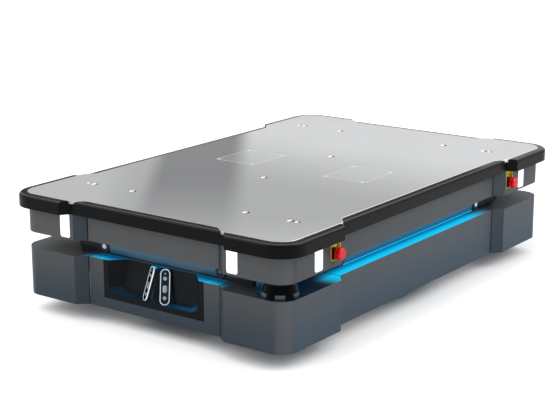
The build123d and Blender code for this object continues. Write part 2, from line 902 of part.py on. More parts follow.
def camera_recess():
    """Moulded insert with two open pockets and the nose that holds the cameras."""
    body = block(
        (recess_back, cover_front_x - lower_cover_inset),
        (-recess_half_width, recess_half_width),
        (recess_bottom, slot_bottom),
    )
    low = pocket_side(pocket_back_low, pocket_half_low)
    top = pocket_side(pocket_back_top, pocket_half_top)
    low_face = make_face(Polyline(*low, *[(x, -y) for x, y in reversed(low)], close=True))
    top_face = make_face(Polyline(*top, *[(x, -y) for x, y in reversed(top)], close=True))
    cavity = loft([Pos(0, 0, pocket_floor) * low_face, Pos(0, 0, slot_bottom) * top_face], ruled=True)
    floor_face = cavity.faces().sort_by(Axis.Z)[0]
    floor_edges = [edge for edge in floor_face.edges() if abs(edge.center().Y) > pocket_half_low / 2]
    cavity = fillet(floor_edges, pocket_radius)
    cavity += prism(top_face, slot_bottom, slot_bottom + overcut)
    nose_width = (-pocket_half_width, pocket_half_width)
    nose = block((recess_back, half_x), nose_width, (pocket_floor, slot_bottom + overcut))
    for side in sides:
        cut_face = camera_plane(side, camera_proud) * Rectangle(vehicle_length, vehicle_length)
        nose &= extrude(cut_face, -vehicle_length)
    body -= cavity - nose
    for side in sides:
        socket = camera_plane(side, camera_depth + fit_gap) * camera_outline(-fit_gap)
        body -= extrude(socket, 2 * camera_depth)
    return body


def depth_cameras():
    """Two stadium-shaped camera bodies with a shallow front for the window."""
    cameras = []
    for side in sides:
        body = extrude(camera_plane(side, camera_depth) * camera_outline(0.0), camera_depth)
        window = camera_plane(side, camera_window_depth) * camera_outline(camera_window_inset)
        cameras.append(body - extrude(window, camera_window_depth))
    return cameras


def camera_windows():
    """Dark front windows of the two cameras, set a little back from the rim."""
    return [
        extrude(
            camera_plane(side, camera_window_depth) * camera_outline(camera_window_inset + fit_gap / 2),
            camera_window_depth - camera_window_recess,
        )
        for side in sides
    ]


# Light bars and proximity sensors
def bar_profile(face, back):
    """Section of a light bar in the plane of depth and height."""
    half = light_bar_height / 2
    return make_face(
        [
            Line((back, -half), (face - light_bar_nose, -half)),
            ThreePointArc((face - light_bar_nose, -half), (face, 0), (face - light_bar_nose, half)),
            Line((face - light_bar_nose, half), (back, half)),
            Line((back, half), (back, -half)),
        ]
    )


def light_bars():
    """Four diffuser bars in the slot, one on each core wall."""
    end_plane = Plane((0, -end_bar_half_length, light_bar_centre_z), x_dir=(1, 0, 0), z_dir=(0, 1, 0))
    side_plane = Plane((-side_bar_half_length, 0, light_bar_centre_z), x_dir=(0, 1, 0), z_dir=(1, 0, 0))
    end_profile = bar_profile(end_face_x, core_half_x + fit_gap)
    side_profile = bar_profile(side_face_y, core_half_y + fit_gap)
    end_bar = extrude(end_plane * end_profile, 2 * end_bar_half_length)
    side_bar = extrude(side_plane * side_profile, 2 * side_bar_half_length)
    return [end_bar, mirror(end_bar, about=Plane.YZ), side_bar, mirror(side_bar, about=Plane.XZ)]


def eye_cylinder(along, back, front, radius):
    """Cylinder on the axis of a sensor's eye, drawn facing +X."""
    return cylinder_between((back, along, light_bar_centre_z), (front, along, light_bar_centre_z), radius)


def sensor(along, outer, back, face):
    """Proximity sensor drawn along Y and facing +X: its case and the ring of its eye."""
    case_face = face - sensor_ring_depth / 2
    case = block((back, case_face), (along, outer), (sensor_body_low, slot_top - fit_gap))
    ring = eye_cylinder(along, back, face + sensor_ring_depth / 2, sensor_ring_radius)
    eye_radius = sensor_lens_radius + fit_gap
    eye = eye_cylinder(along, face - sensor_lens_depth, face + sensor_ring_depth, eye_radius)
    return case + ring - eye


def sensor_lens(along, face):
    """Domed lens of one sensor, facing +X."""
    lens = eye_cylinder(along, face - sensor_lens_depth, face + sensor_lens_dome, sensor_lens_radius)
    rim = lens.edges().filter_by(GeomType.CIRCLE).sort_by(Axis.X)[-1]
    return fillet(rim, sensor_lens_dome - fit_gap)


def turned_to_side(solid):
    """Piece that faces +X along Y, turned to face +Y along X."""
    return mirror(Rotation(0, 0, 90) * solid, about=Plane.YZ)


def proximity_sensors():
    """Cases and lenses of the eight sensors at the ends of the light bars."""
    end_y = end_bar_half_length + sensor_ring_radius + fit_gap
    side_x = side_bar_half_length + sensor_ring_radius + fit_gap
    cases = []
    lenses = []
    end_case = sensor(end_y, core_cut_y, core_half_x + fit_gap, end_face_x)
    side_case = turned_to_side(sensor(side_x, core_cut_x, core_half_y + fit_gap, side_face_y))
    end_lens = sensor_lens(end_y, end_face_x)
    side_lens = turned_to_side(sensor_lens(side_x, side_face_y))
    for sx, sy in corners:
        cases += [to_corner(end_case, sx, sy), to_corner(side_case, sx, sy)]
        lenses += [to_corner(end_lens, sx, sy), to_corner(side_lens, sx, sy)]
    return cases, lenses


# Laser scanners
def scanner_base():
    """Round base with the fixed spindle of the mirror."""
    base = cylinder_between((0, 0, scanner_base_low), (0, 0, scanner_seat_z), scanner_base_radius)
    spindle_top = (0, 0, mirror_low + mirror_height)
    spindle = cylinder_between((0, 0, scanner_seat_z), spindle_top, scanner_spindle_radius)
    return base + spindle


def scanner_window():
    """Tapered optical window, closed by a flat top."""
    height = scanner_window_top - scanner_seat_z
    outer = Cone(scanner_window_low_radius, scanner_window_top_radius, height)
    inner = Cone(
        scanner_window_low_radius - scanner_window_wall,
        scanner_window_top_radius - scanner_window_wall,
        height - scanner_window_wall,
    )
    middle = scanner_seat_z + height / 2
    window = Pos(0, 0, middle) * outer - Pos(0, 0, middle - scanner_window_wall / 2) * inner
    cap = cylinder_between((0, 0, scanner_window_top), (0, 0, slot_top - fit_gap), scanner_cap_radius)
    return window + cap


def scanner_mirror():
    """Spinning mirror: a drum cut at 45 degrees, with a bore for its spindle."""
    top = mirror_low + mirror_height
    drum = cylinder_between((0, 0, mirror_low), (0, 0, top), mirror_radius)
    slab = Box(2 * mirror_height, 3 * mirror_radius, mirror_radius)
    cut = Pos(mirror_radius, 0, top) * Rotation(0, 45, 0) * slab
    bore_radius = scanner_spindle_radius + turn_clearance
    bore = cylinder_between((0, 0, mirror_low - overcut), (0, 0, top + overcut), bore_radius)
    return drum - cut - bore


def bracket_plane():
    """Upright plane on the cut corner of the core, straight behind the front left scanner."""
    run = Vector(core_cut_x - core_half_x, core_half_y - core_cut_y, 0)
    outward = Vector(run.Y, -run.X, 0).normalized()
    scanner = Vector(scanner_x, scanner_y, 0)
    distance = (scanner - Vector(core_half_x, core_cut_y, 0)).dot(outward) - fit_gap
    return Plane(scanner - outward * distance, x_dir=run, z_dir=outward), distance


def scanner_bracket():
    """Angle plate from the cut corner of the core to the front left scanner's base."""
    face, distance = bracket_plane()
    upright_low = scanner_base_low - bracket_thickness
    upright = block_on_plane(face, bracket_width, bracket_thickness, upright_low, slot_top - fit_gap)
    reach = distance + scanner_base_radius / 2
    shelf = block_on_plane(face, bracket_width, reach, upright_low, scanner_base_low)
    return upright + shelf


def block_on_plane(face, width, depth, low, high):
    """Upright block on a vertical plane: width along it, depth outwards, between two levels."""
    centre = face.origin + face.z_dir * (depth / 2)
    angle = degrees(atan2(face.z_dir.Y, face.z_dir.X))
    return Pos(centre.X, centre.Y, (low + high) / 2) * Rotation(0, 0, angle) * Box(depth, width, high - low)


def at_scanners(solid):
    """Copies of a scanner piece at the front left and rear right corners."""
    front = Pos(scanner_x, scanner_y, 0) * solid
    return [front, Rotation(0, 0, 180) * front]


# Emergency stops
def stop_pocket():
    """Yellow moulded pocket, open outwards, with the hole of the stop's body."""
    back = half_y - stop_pocket_depth
    outer = extrude(stop_plane(back) * stop_pocket_outline(0.0), stop_pocket_depth)
    floor = stop_plane(back + stop_pocket_wall)
    inner = extrude(floor * stop_pocket_outline(stop_pocket_wall), stop_pocket_depth)
    hole = extrude(stop_plane(back) * Circle(stop_stem_radius + stop_body_wall), stop_pocket_wall * 2)
    return outer - inner - hole


def stop_collar():
    """Black body of the stop, with the bore of the plunger."""
    back = half_y - stop_pocket_depth + stop_pocket_wall
    front = half_y + stop_collar_proud
    ring = extrude(stop_plane(back) * Circle(stop_collar_radius), front - back)
    body_back = back - stop_body_length
    body_radius = stop_stem_radius + stop_body_wall - fit_gap
    body = extrude(stop_plane(body_back) * Circle(body_radius), back - body_back)
    bore_back = back - stop_pocket_wall - 2 * stop_travel - stop_bore_spare
    bore = extrude(stop_plane(bore_back) * Circle(stop_stem_radius + turn_clearance), front)
    return ring + body - bore


def stop_stem():
    """Plunger that slides in the collar and carries the head."""
    back = half_y - stop_pocket_depth - stop_travel
    front = half_y + stop_collar_proud + stop_travel
    stem = extrude(stop_plane(back) * Circle(stop_stem_radius), front - back)
    pin = extrude(stop_plane(front) * Circle(stop_pin_radius), stop_head_length / 2)
    return stem + pin


def stop_head():
    """Red mushroom head that twists on the plunger's pin."""
    back = half_y + stop_collar_proud + stop_travel + fit_gap
    front = back + stop_head_length
    head = extrude(stop_plane(back) * Circle(stop_head_radius), front - back)
    rim = head.edges().filter_by(GeomType.CIRCLE).sort_by(Axis.Y)[-1]
    head = chamfer(rim, stop_head_edge)
    bore_depth = stop_head_length / 2 + fit_gap
    return head - extrude(stop_plane(back) * Circle(stop_pin_radius + turn_clearance), bore_depth)


# Control panel on the rear left corner
def rear_cylinder(y, z, start, end, radius):
    """Cylinder through the rear face of the covers, between two depths behind that face."""
    return cylinder_between((-half_x + start, y, z), (-half_x + end, y, z), radius)


def control_panel_opening(gap):
    """Space of the control panel in the rear face of the corner cover."""
    half = panel_width / 2 + gap
    return block(
        (-half_x - overcut, -half_x + panel_thickness),
        (panel_centre_y - half, panel_centre_y + half),
        (panel_low - gap, panel_high + gap),
    )


def button_places():
    """Sideways places of the two push buttons."""
    return [panel_centre_y - button_spacing / 2, panel_centre_y + button_spacing / 2]


def control_panel():
    """Plate with a bezel and a guide sleeve for each push button."""
    half = panel_width / 2
    plate = block(
        (-half_x + fit_gap, -half_x + panel_thickness),
        (panel_centre_y - half, panel_centre_y + half),
        (panel_low, panel_high),
    )
    cap_seat = button_cap_back + button_travel + button_travel_spare
    sleeve_radius = button_radius + button_bezel
    for y in button_places():
        plate += rear_cylinder(y, button_z, -button_bezel_proud, button_guide_depth, sleeve_radius)
        plate -= rear_cylinder(y, button_z, -2 * button_bezel_proud, cap_seat, button_radius + fit_gap)
        stem_bore = button_stem_radius + turn_clearance
        plate -= rear_cylinder(y, button_z, 0, button_guide_depth + overcut, stem_bore)
    return plate


def push_button(y):
    """Push button with its stem, at rest a little proud of its bezel."""
    stem_back = button_guide_depth - button_travel - button_travel_spare
    cap = rear_cylinder(y, button_z, -button_bezel_proud - button_height, button_cap_back, button_radius)
    rim = cap.edges().filter_by(GeomType.CIRCLE).sort_by(Axis.X)[0]
    stem = rear_cylinder(y, button_z, button_cap_back, stem_back, button_stem_radius)
    return fillet(rim, button_edge) + stem


def selector_collar():
    """Fixed collar of the mode selector, through the corner cover."""
    collar = rear_cylinder(knob_y, knob_z, -knob_collar_proud, knob_collar_depth, knob_collar_radius)
    bore_back = knob_pin_depth + overcut
    bore_radius = knob_pin_radius + turn_clearance
    return collar - rear_cylinder(knob_y, knob_z, -2 * knob_collar_proud, bore_back, bore_radius)


def selector_knob():
    """Round knob with a grip bar, which turns in its collar."""
    base = -knob_collar_proud - fit_gap
    disc = rear_cylinder(knob_y, knob_z, base, base - knob_disc, knob_radius)
    half_grip = knob_radius - knob_grip_inset
    grip = block(
        (-half_x - knob_length, -half_x + base - knob_disc),
        (knob_y - knob_grip_width / 2, knob_y + knob_grip_width / 2),
        (knob_z - half_grip, knob_z + half_grip),
    )
    return disc + grip + rear_cylinder(knob_y, knob_z, base, knob_pin_depth, knob_pin_radius)


# Battery and electronics
def battery_pack():
    """Closed battery case with ribs along its lid and a carrying handle."""
    half = battery_length / 2
    top = pan_floor + fit_gap + battery_height
    case = block(
        (battery_centre_x - half, battery_centre_x + half),
        (-battery_width / 2, battery_width / 2),
        (pan_floor + fit_gap, top),
    )
    case = fillet(case.edges().filter_by(Axis.Z), battery_edge)
    grip = block(
        (battery_centre_x - handle_span / 2, battery_centre_x + handle_span / 2),
        (-handle_bar / 2, handle_bar / 2),
        (top, top + handle_height),
    )
    finger_space = block(
        (battery_centre_x - handle_span / 2 + handle_bar, battery_centre_x + handle_span / 2 - handle_bar),
        (-handle_bar, handle_bar),
        (top, top + handle_height - handle_bar / 2),
    )
    return case + (grip - finger_space)


def drive_controller():
    """Motor controller and computer case with cooling fins on top."""
    low = pan_floor + fit_gap
    high = low + controller_height
    half = controller_length / 2
    case = block(
        (controller_centre_x - half, controller_centre_x + half),
        (-controller_width / 2, controller_width / 2),
        (low, high),
    )
    pitch = (controller_width - fin_thickness) / (fin_count - 1)
    for index in range(fin_count):
        y = -controller_width / 2 + fin_thickness / 2 + index * pitch
        case += block(
            (controller_centre_x - half, controller_centre_x + half),
            (y - fin_thickness / 2, y + fin_thickness / 2),
            (high, high + fin_height),
        )
    return case


# Bogies with gear motors
def on_pivot(y):
    """Point on the left bogie's pivot axis."""
    return (pivot_x, y, pivot_z)


def on_axle(y):
    """Point on the left drive wheel's axis."""
    return (wheel_x, y, wheel_radius)


def bogie_pin(side):
    """Fixed pivot pin on the rail, with a cap that keeps the arm on."""
    cap_start = arm_outer_y + fit_gap
    pin = cylinder_between(on_pivot(rail_outer_y), on_pivot(cap_start), pivot_radius)
    pin += cylinder_between(on_pivot(cap_start), on_pivot(cap_start + pivot_cap), pivot_cap_radius)
    pin += cylinder_between(on_pivot(rail_outer_y), on_pivot(arm_inner_y - fit_gap), pivot_cap_radius)
    return to_corner(pin, 1, side)


def bogie_arm(side):
    """Cut side plate from the wheel past the pivot to the front caster, with its caster pad."""
    plane = Plane((0, arm_inner_y, 0), x_dir=(1, 0, 0), z_dir=(0, -1, 0))
    pad_high = core_bottom + arm_front_height
    pad_start = caster_x - caster_pad / 2
    pad_end = caster_x + caster_pad / 2
    neck_x = pivot_x - arm_pivot_boss / 2
    rear = hull_of_circles((wheel_x, wheel_radius), arm_wheel_boss, (pivot_x, pivot_z), arm_pivot_boss)
    web = make_face(
        Polyline(
            (neck_x, pivot_z - arm_neck),
            (pad_start - arm_taper_length, core_bottom - arm_taper_depth),
            (pad_start, core_bottom),
            (pad_end, core_bottom),
            (pad_end, pad_high + arm_pad_wall),
            (pad_start, pad_high + arm_pad_wall),
            (neck_x, pivot_z + arm_neck),
            close=True,
        )
    )
    arm = extrude(plane * (rear + web), -arm_thickness)
    arm += block((pad_start, pad_end), (arm_inner_y, caster_y + caster_pad / 2), (core_bottom, pad_high))
    stem = [(caster_x, caster_y, z) for z in (0, deck_height)]
    arm -= cylinder_between(on_pivot(0), on_pivot(vehicle_width), pivot_radius + turn_clearance)
    arm -= cylinder_between(on_axle(0), on_axle(vehicle_width), axle_radius + turn_clearance)
    arm -= cylinder_between(*stem, caster_stem_radius + turn_clearance)
    return to_corner(arm, 1, side)


def hull_of_circles(first, first_radius, second, second_radius):
    """Two discs joined by their common tangents."""
    dx = second[0] - first[0]
    dy = second[1] - first[1]
    distance = sqrt(dx * dx + dy * dy)
    lean = (first_radius - second_radius) / distance
    along = (dx / distance, dy / distance)
    straight = sqrt(1 - lean * lean)
    points = []
    for turn in (1, -1):
        normal = (
            along[0] * lean - turn * along[1] * straight,
            along[1] * lean + turn * along[0] * straight,
        )
        pair = [
            (first[0] + normal[0] * first_radius, first[1] + normal[1] * first_radius),
            (second[0] + normal[0] * second_radius, second[1] + normal[1] * second_radius),
        ]
        points += pair if turn > 0 else reversed(pair)
    bridge = make_face(Polyline(*points, close=True))
    return bridge + Pos(*first) * Circle(first_radius) + Pos(*second) * Circle(second_radius)


def gearmotor(side):
    """Planetary gearbox and motor, flanged to the arm's inner face."""
    flange = arm_inner_y - motor_flange
    gearbox_end = flange - gearbox_length
    body = cylinder_between(on_axle(arm_inner_y), on_axle(flange), motor_radius)
    body += cylinder_between(on_axle(flange), on_axle(gearbox_end), gearbox_radius)
    body += cylinder_between(on_axle(gearbox_end), on_axle(gearbox_end - motor_length), motor_radius)
    return to_corner(body, 1, side)


def drive_hub(side):
    """Wheel hub with lightening holes in its web and with its axle stub."""
    rim_radius = wheel_radius - tyre_thickness
    middle = (wheel_outer_y + wheel_inner_y) / 2
    hub = cylinder_between(on_axle(wheel_inner_y), on_axle(wheel_outer_y), rim_radius)
    for start, end in ((middle + hub_web / 2, wheel_outer_y), (wheel_inner_y, middle - hub_web / 2)):
        hub -= cylinder_between(on_axle(start), on_axle(end), rim_radius - hub_rim)
    for index in range(hub_hole_count):
        angle = radians(index * 360 / hub_hole_count)
        x = wheel_x + hub_hole_circle * cos(angle)
        z = wheel_radius + hub_hole_circle * sin(angle)
        hub -= cylinder_between((x, wheel_inner_y, z), (x, wheel_outer_y, z), hub_hole_radius)
    hub += cylinder_between(on_axle(wheel_inner_y), on_axle(wheel_outer_y - hub_boss_inset), hub_boss_radius)
    hub += cylinder_between(on_axle(arm_inner_y + axle_end_gap), on_axle(wheel_inner_y), axle_radius)
    return to_corner(hub, 1, side)


def drive_tyre(side):
    """Solid tyre with grooves round its tread."""
    profile = Pos(wheel_radius - tyre_thickness / 2, 0) * Rectangle(tyre_thickness, wheel_width)
    profile = chamfer(profile.vertices().sort_by(Axis.X)[-2:], tyre_edge)
    pitch = wheel_width / (tyre_groove_count + 1)
    for index in range(tyre_groove_count):
        place = (index + 1) * pitch - wheel_width / 2
        profile -= Pos(wheel_radius, place) * Rectangle(2 * tyre_groove, tyre_groove)
    ring = revolve(Plane.XY * profile, Axis.Y)
    tyre = Pos(wheel_x, (wheel_outer_y + wheel_inner_y) / 2, wheel_radius) * ring
    return to_corner(tyre, 1, side)


# Swivel casters
def caster_fork(sx, sy):
    """Fork with its stem, crown, legs and axle. The wheel trails behind the stem."""
    x = sx * caster_x
    y = sy * caster_y
    pad = cross_tube_height if sx < 0 else arm_front_height
    crown_top = core_bottom - fit_gap
    leg_inner = caster_wheel_width / 2 + caster_side_gap
    leg_outer = leg_inner + caster_leg
    axle = (x - caster_trail, caster_wheel_radius)
    fork = cylinder_between((x, y, caster_crown_low), (x, y, crown_top), caster_crown_radius)
    nut_low = core_bottom + pad + fit_gap
    fork += cylinder_between((x, y, crown_top), (x, y, nut_low), caster_stem_radius)
    fork += cylinder_between((x, y, nut_low), (x, y, nut_low + caster_nut_height), caster_nut_radius)
    reach = sqrt(caster_crown_radius ** 2 - leg_outer ** 2)
    leg = make_face(
        Polyline(
            (axle[0] - caster_axle_boss, axle[1]),
            (x - reach, caster_crown_low),
            (x - reach, crown_top),
            (x + reach, crown_top),
            (x + reach, caster_crown_low),
            (axle[0] + caster_axle_boss, axle[1]),
            close=True,
        )
    )
    leg += Pos(*axle) * Circle(caster_axle_boss)
    for side in sides:
        low = y + min(side * leg_inner, side * leg_outer)
        plane = Plane((0, low, 0), x_dir=(1, 0, 0), z_dir=(0, -1, 0))
        fork += extrude(plane * leg, -caster_leg)
    ends = [(axle[0], y + side * leg_outer, axle[1]) for side in sides]
    return fork + cylinder_between(*ends, caster_axle_radius)


def caster_wheel(sx, sy):
    """Caster wheel with a bevelled tread, a thinner web and a long hub."""
    half = caster_wheel_width / 2
    bore = caster_axle_radius + turn_clearance
    hub = bore + caster_hub_wall
    tread = half - caster_tread_inset
    tread_base = caster_wheel_radius - caster_tread_depth
    upper = [
        (bore, half),
        (hub, half),
        (hub, half - caster_web_inset),
        (tread_base - caster_tread_slope, half - caster_web_inset),
        (tread_base, tread),
        (caster_wheel_radius - caster_tread_edge, tread),
        (caster_wheel_radius, tread - caster_tread_edge),
    ]
    lower = [(radius, -place) for radius, place in reversed(upper)]
    wheel = revolve(Plane.XY * make_face(Polyline(*upper, *lower, close=True)), Axis.Y)
    return Pos(sx * caster_x - caster_trail, sy * caster_y, caster_wheel_radius) * wheel


# Write every node
def write_nodes():
    os.makedirs("parts", exist_ok=True)
    save("chassis_frame", *chassis_rails(), *chassis_cross_tubes())
    save("belly_pan", belly_pan())
    save("core_walls", *core_walls())
    save("deck_frame", *deck_posts(), *deck_frame())
    save("battery_pack", battery_pack())
    save("drive_controller", drive_controller())
    save("top_plate", top_plate())
    save("hatch_covers", *[hatch_cover(side) for side in sides])
    save("hatch_screws", *hatch_screws())
    corner_bumpers, straight_bumpers = bumpers()
    save("corner_bumpers", *corner_bumpers)
    save("straight_bumpers", *straight_bumpers)
    save("upper_corner_covers", *upper_corner_covers())
    save("upper_panels", *upper_panels())
    corner_covers, side_panels, front_panel, rear_panel = lower_covers()
    save("lower_corner_covers", *corner_covers)
    save("lower_side_panels", *side_panels)
    save("lower_front_panel", front_panel)
    save("lower_rear_panel", rear_panel)
    save("light_bars", *light_bars())
    cases, lenses = proximity_sensors()
    save("proximity_sensors", *cases)
    save("proximity_lenses", *lenses)
    save("signal_lights", *signal_lights())
    save("camera_recess", camera_recess())
    save("depth_cameras", *depth_cameras())
    save("camera_windows", *camera_windows())
    save("scanner_bases", *at_scanners(scanner_base()))
    save("scanner_windows", *at_scanners(scanner_window()))
    bracket = scanner_bracket()
    save("scanner_brackets", bracket, Rotation(0, 0, 180) * bracket)
    for name, mirror_solid in zip(("front", "rear"), at_scanners(scanner_mirror())):
        save(f"scanner_mirror_{name}", mirror_solid)
    save("stop_pockets", *[to_corner(stop_pocket(), sx, sy) for sx, sy in corners])
    save("stop_collars", *[to_corner(stop_collar(), sx, sy) for sx, sy in corners])
    for sx, sy in corners:
        place = f"{'front' if sx > 0 else 'rear'}_{'left' if sy > 0 else 'right'}"
        save(f"stop_stem_{place}", to_corner(stop_stem(), sx, sy))
        save(f"stop_head_{place}", to_corner(stop_head(), sx, sy))
        save(f"caster_fork_{place}", caster_fork(sx, sy))
        save(f"caster_wheel_{place}", caster_wheel(sx, sy))
    save("control_panel", control_panel(), selector_collar())
    for name, y in zip(("start", "reset"), button_places()):
        save(f"{name}_button", push_button(y))
    save("mode_selector", selector_knob())
    save("bogie_pins", *[bogie_pin(side) for side in sides])
    for name, side in zip(("left", "right"), sides):
        save(f"bogie_arm_{name}", bogie_arm(side))
        save(f"gearmotor_{name}", gearmotor(side))
        save(f"drive_hub_{name}", drive_hub(side))
        save(f"drive_tyre_{name}", drive_tyre(side))


write_nodes()
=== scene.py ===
from math import cos, radians, sin

import bmesh
import bpy
from mathutils import Matrix, Vector


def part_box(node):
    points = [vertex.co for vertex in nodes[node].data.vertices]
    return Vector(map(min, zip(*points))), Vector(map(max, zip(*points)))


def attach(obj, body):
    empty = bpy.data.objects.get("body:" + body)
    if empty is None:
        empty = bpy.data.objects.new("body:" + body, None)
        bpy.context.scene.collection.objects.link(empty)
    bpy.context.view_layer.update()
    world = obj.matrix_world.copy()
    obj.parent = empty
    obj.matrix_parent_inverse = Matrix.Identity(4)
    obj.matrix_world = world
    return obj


bl_info = {
    "name": "Flat Deck Guided Vehicle",
    "version": (1, 0, 0),
    "blender": (4, 5, 0),
    "location": "View3D > Sidebar > Vehicle",
    "description": "Finishes and trim for a flat deck guided vehicle, with its studio stage",
    "category": "Object",
}

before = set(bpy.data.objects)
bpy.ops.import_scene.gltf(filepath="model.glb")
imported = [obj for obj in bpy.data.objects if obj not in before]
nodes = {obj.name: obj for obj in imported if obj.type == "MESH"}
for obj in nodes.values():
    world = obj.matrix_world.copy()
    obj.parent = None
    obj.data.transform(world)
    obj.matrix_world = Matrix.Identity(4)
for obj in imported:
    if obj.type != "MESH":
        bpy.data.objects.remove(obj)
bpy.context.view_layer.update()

# Places read from the frame, in metres
deck_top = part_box("top_plate")[1].z
cover_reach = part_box("lower_corner_covers")[1]
slot_floor = cover_reach.z
slot_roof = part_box("upper_panels")[0].z
bar_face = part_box("light_bars")[1]
bar_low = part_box("light_bars")[0].z

# Ends and sides of the vehicle, with the sign of Y on each side
ends = ("front", "rear")
sides = {"left": 1, "right": -1}
corners = [f"{end}_{side}" for end in ends for side in sides]

# Level directions along which the painted reflections, highlights and shades run, and the bumper's gloss
# changes
front_left, rear_right = (0.81, 0.59), (-0.81, -0.59)
front_right, rear_left = (0.59, -0.81), (-0.59, 0.81)

# Values between which a noise texture mostly lies
noise_range = (0.3, 0.7)

dark, bright = (0.0, 0.0, 0.0), (1.0, 1.0, 1.0)


def linear(red, green, blue):
    """Linear colour of an eight-bit screen colour."""
    return tuple((value / 255) ** 2.2 for value in (red, green, blue))


def scaled(colour, share):
    """Lighter or darker tone of a colour."""
    return tuple(value * share for value in colour)


def direction(heading, rise):
    """Unit vector with a heading and a rise above the level."""
    return Vector((cos(rise) * cos(heading), cos(rise) * sin(heading), sin(rise)))


def short_of(limit, first, second):
    """Two levels that lie short of a limit."""
    return limit - first, limit - second


def middle_of(points):
    """Middle of the box round some points."""
    return Vector(max(values) + min(values) for values in zip(*points)) / 2


def named(stem, places):
    """Names of the like pieces at several places."""
    return [f"{stem}_{place}" for place in places]


# Properties
def colour_property(name, description, default):
    """Colour that a user can change in the panel."""
    return bpy.props.FloatVectorProperty(
        name=name, description=description, default=linear(*default), size=3, subtype="COLOR",
        min=0, max=1,
    )


def length_property(name, description, default):
    """Length in metres that a user can change in the panel."""
    return bpy.props.FloatProperty(
        name=name, description=description, default=default, unit="LENGTH", precision=4
    )


def angle_property(name, description, degrees):
    """Angle that a user can change in the panel."""
    return bpy.props.FloatProperty(
        name=name, description=description, default=radians(degrees), unit="ROTATION"
    )


def power_property(name, description, default):
    """Power in watts that a user can change in the panel."""
    return bpy.props.FloatProperty(
        name=name, description=description, default=default, min=0, unit="POWER"
    )


class VehicleColours(bpy.types.PropertyGroup):
    """Colours of the finishes."""

    deck: colour_property("Deck", "Satin metal of the load deck", (238, 239, 240))
    # Painted shade and painted reflection on the deck: darker towards its front and in a band across it
    deck_front_shade: colour_property("Deck middle", "Tone of the deck towards its front", (186, 187, 188))
    deck_shade: colour_property("Deck shade", "Darker rolled tone across the deck", (130, 131, 133))
    bumper: colour_property("Bumper", "Rubber of the bumpers", (11, 12, 13))
    cover: colour_property("Cover", "Moulded covers", (80, 82, 84))
    # Painted cool shade of the covers towards their foot and on the facets of their steps
    cover_cool_shade: colour_property("Cover foot", "Cooler tone towards the foot of the covers", (53, 65, 76))
    glow: colour_property("Glow", "Light that fills the slot", (0, 196, 246))
    glow_end: colour_property("End glow", "Light close to the core at the ends", (0, 78, 112))
    glow_side: colour_property("Side glow", "Light close to the core along the sides", (0, 118, 166))
    end_bar: colour_property("End light bar", "Diffuser of the end light bars", (47, 97, 127))
    side_bar: colour_property("Side light bar", "Diffuser of the side light bars", (28, 74, 104))
    signal: colour_property("Signal light", "White corner lenses", (255, 255, 255))
    recess: colour_property("Recess", "Moulded camera recess", (12, 16, 21))
    stop_red: colour_property("Stop head", "Red plastic of the stop heads", (238, 10, 20))
    stop_yellow: colour_property("Stop pocket", "Yellow plastic round the stops", (250, 212, 24))
    tyre: colour_property("Tyre", "Polyurethane of the drive tyres", (24, 156, 166))


class VehicleTrim(bpy.types.PropertyGroup):
    """Sizes of the trim that is modelled here."""

    foot_height: length_property("Foot strip height", "Bright strip at a side light bar's foot", 0.0008)
    foot_length: length_property("Foot strip length", "Length of the strips along the sides", 0.658)
    foot_depth: length_property("Foot strip depth", "How far the strip stands out of the bar", 0.0015)
    camera_yaw: angle_property("Camera yaw", "Turn of each depth camera", 31)
    camera_tilt: angle_property("Camera tilt", "Upward tilt of each depth camera", 17)
    lens_depth: length_property("Lens depth", "Thickness of a camera lens", 0.0005)
    lens_gap: length_property("Lens gap", "From the middle of a window to the back of a lens", 0.0004)
    collar_radius: length_property("Collar radius", "Radius of a stop's collar", 0.014)
    rib_radius: length_property("Collar rib", "Radius of the ribs round a stop's collar", 0.0007)
    rib_first: length_property("First rib", "How far the first rib stands out of the cover", 0.0008)
    rib_pitch: length_property("Rib pitch", "Distance from rib to rib", 0.0022)
    rib_count: bpy.props.IntProperty(
        name="Rib count", description="Ribs round a collar", default=3, min=1
    )


class VehicleStudio(bpy.types.PropertyGroup):
    """Camera and lights of the stage."""

    camera_place: bpy.props.FloatVectorProperty(
        name="Camera place", description="Where the camera stands",
        default=(3.16123, 2.24722, 1.21193), unit="LENGTH",
    )
    camera_heading: angle_property("Camera heading", "Compass direction of the view", -143.81)
    camera_dip: angle_property("Camera dip", "Downward tilt of the view", -14.66)
    camera_roll: angle_property("Camera roll", "Roll about the view", -0.1)
    focal_length: bpy.props.FloatProperty(
        name="Focal length", description="Lens of the camera in millimetres", default=91.76,
        unit="CAMERA",
    )
    floor_radius: length_property("Floor radius", "Reach of the floor", 40.0)
    world_strength: bpy.props.FloatProperty(
        name="World", description="Strength of the soft light all round", default=0.72, min=0
    )
    key_power: power_property("Key light", "Power of the large softbox in watts", 50)
    fill_power: power_property("Fill light", "Power of the second softbox in watts", 26)


def colours():
    """The colours as they stand in the panel."""
    return bpy.context.scene.vehicle_colours


def trim():
    """The trim sizes as they stand in the panel."""
    return bpy.context.scene.vehicle_trim


# Shader building
def feed(tree, socket, value):
    """Link a socket to another one, or set its value. A colour is given as red, green and blue."""
    if isinstance(value, bpy.types.NodeSocket):
        tree.links.new(value, socket)
    elif socket.type == "RGBA":
        socket.default_value = (*value, 1.0)
    else:
        socket.default_value = value


def shader_node(tree, kind, inputs=None, **settings):
    """Shader node with its settings and its inputs fed."""
    made = tree.nodes.new(kind)
    for name, value in settings.items():
        setattr(made, name, value)
    for key, value in (inputs or {}).items():
        feed(tree, made.inputs[key], value)
    return made


def calculated(tree, kind, first, second=0.0):
    """Result of a calculation with one or two values."""
    return shader_node(tree, "ShaderNodeMath", {0: first, 1: second}, operation=kind).outputs[0]


def size_of(tree, value):
    """Size of a value, without its sign."""
    return calculated(tree, "ABSOLUTE", value)


def product(tree, first, *others):
    """Values or masks multiplied together."""
    for other in others:
        first = calculated(tree, "MULTIPLY", first, other)
    return first


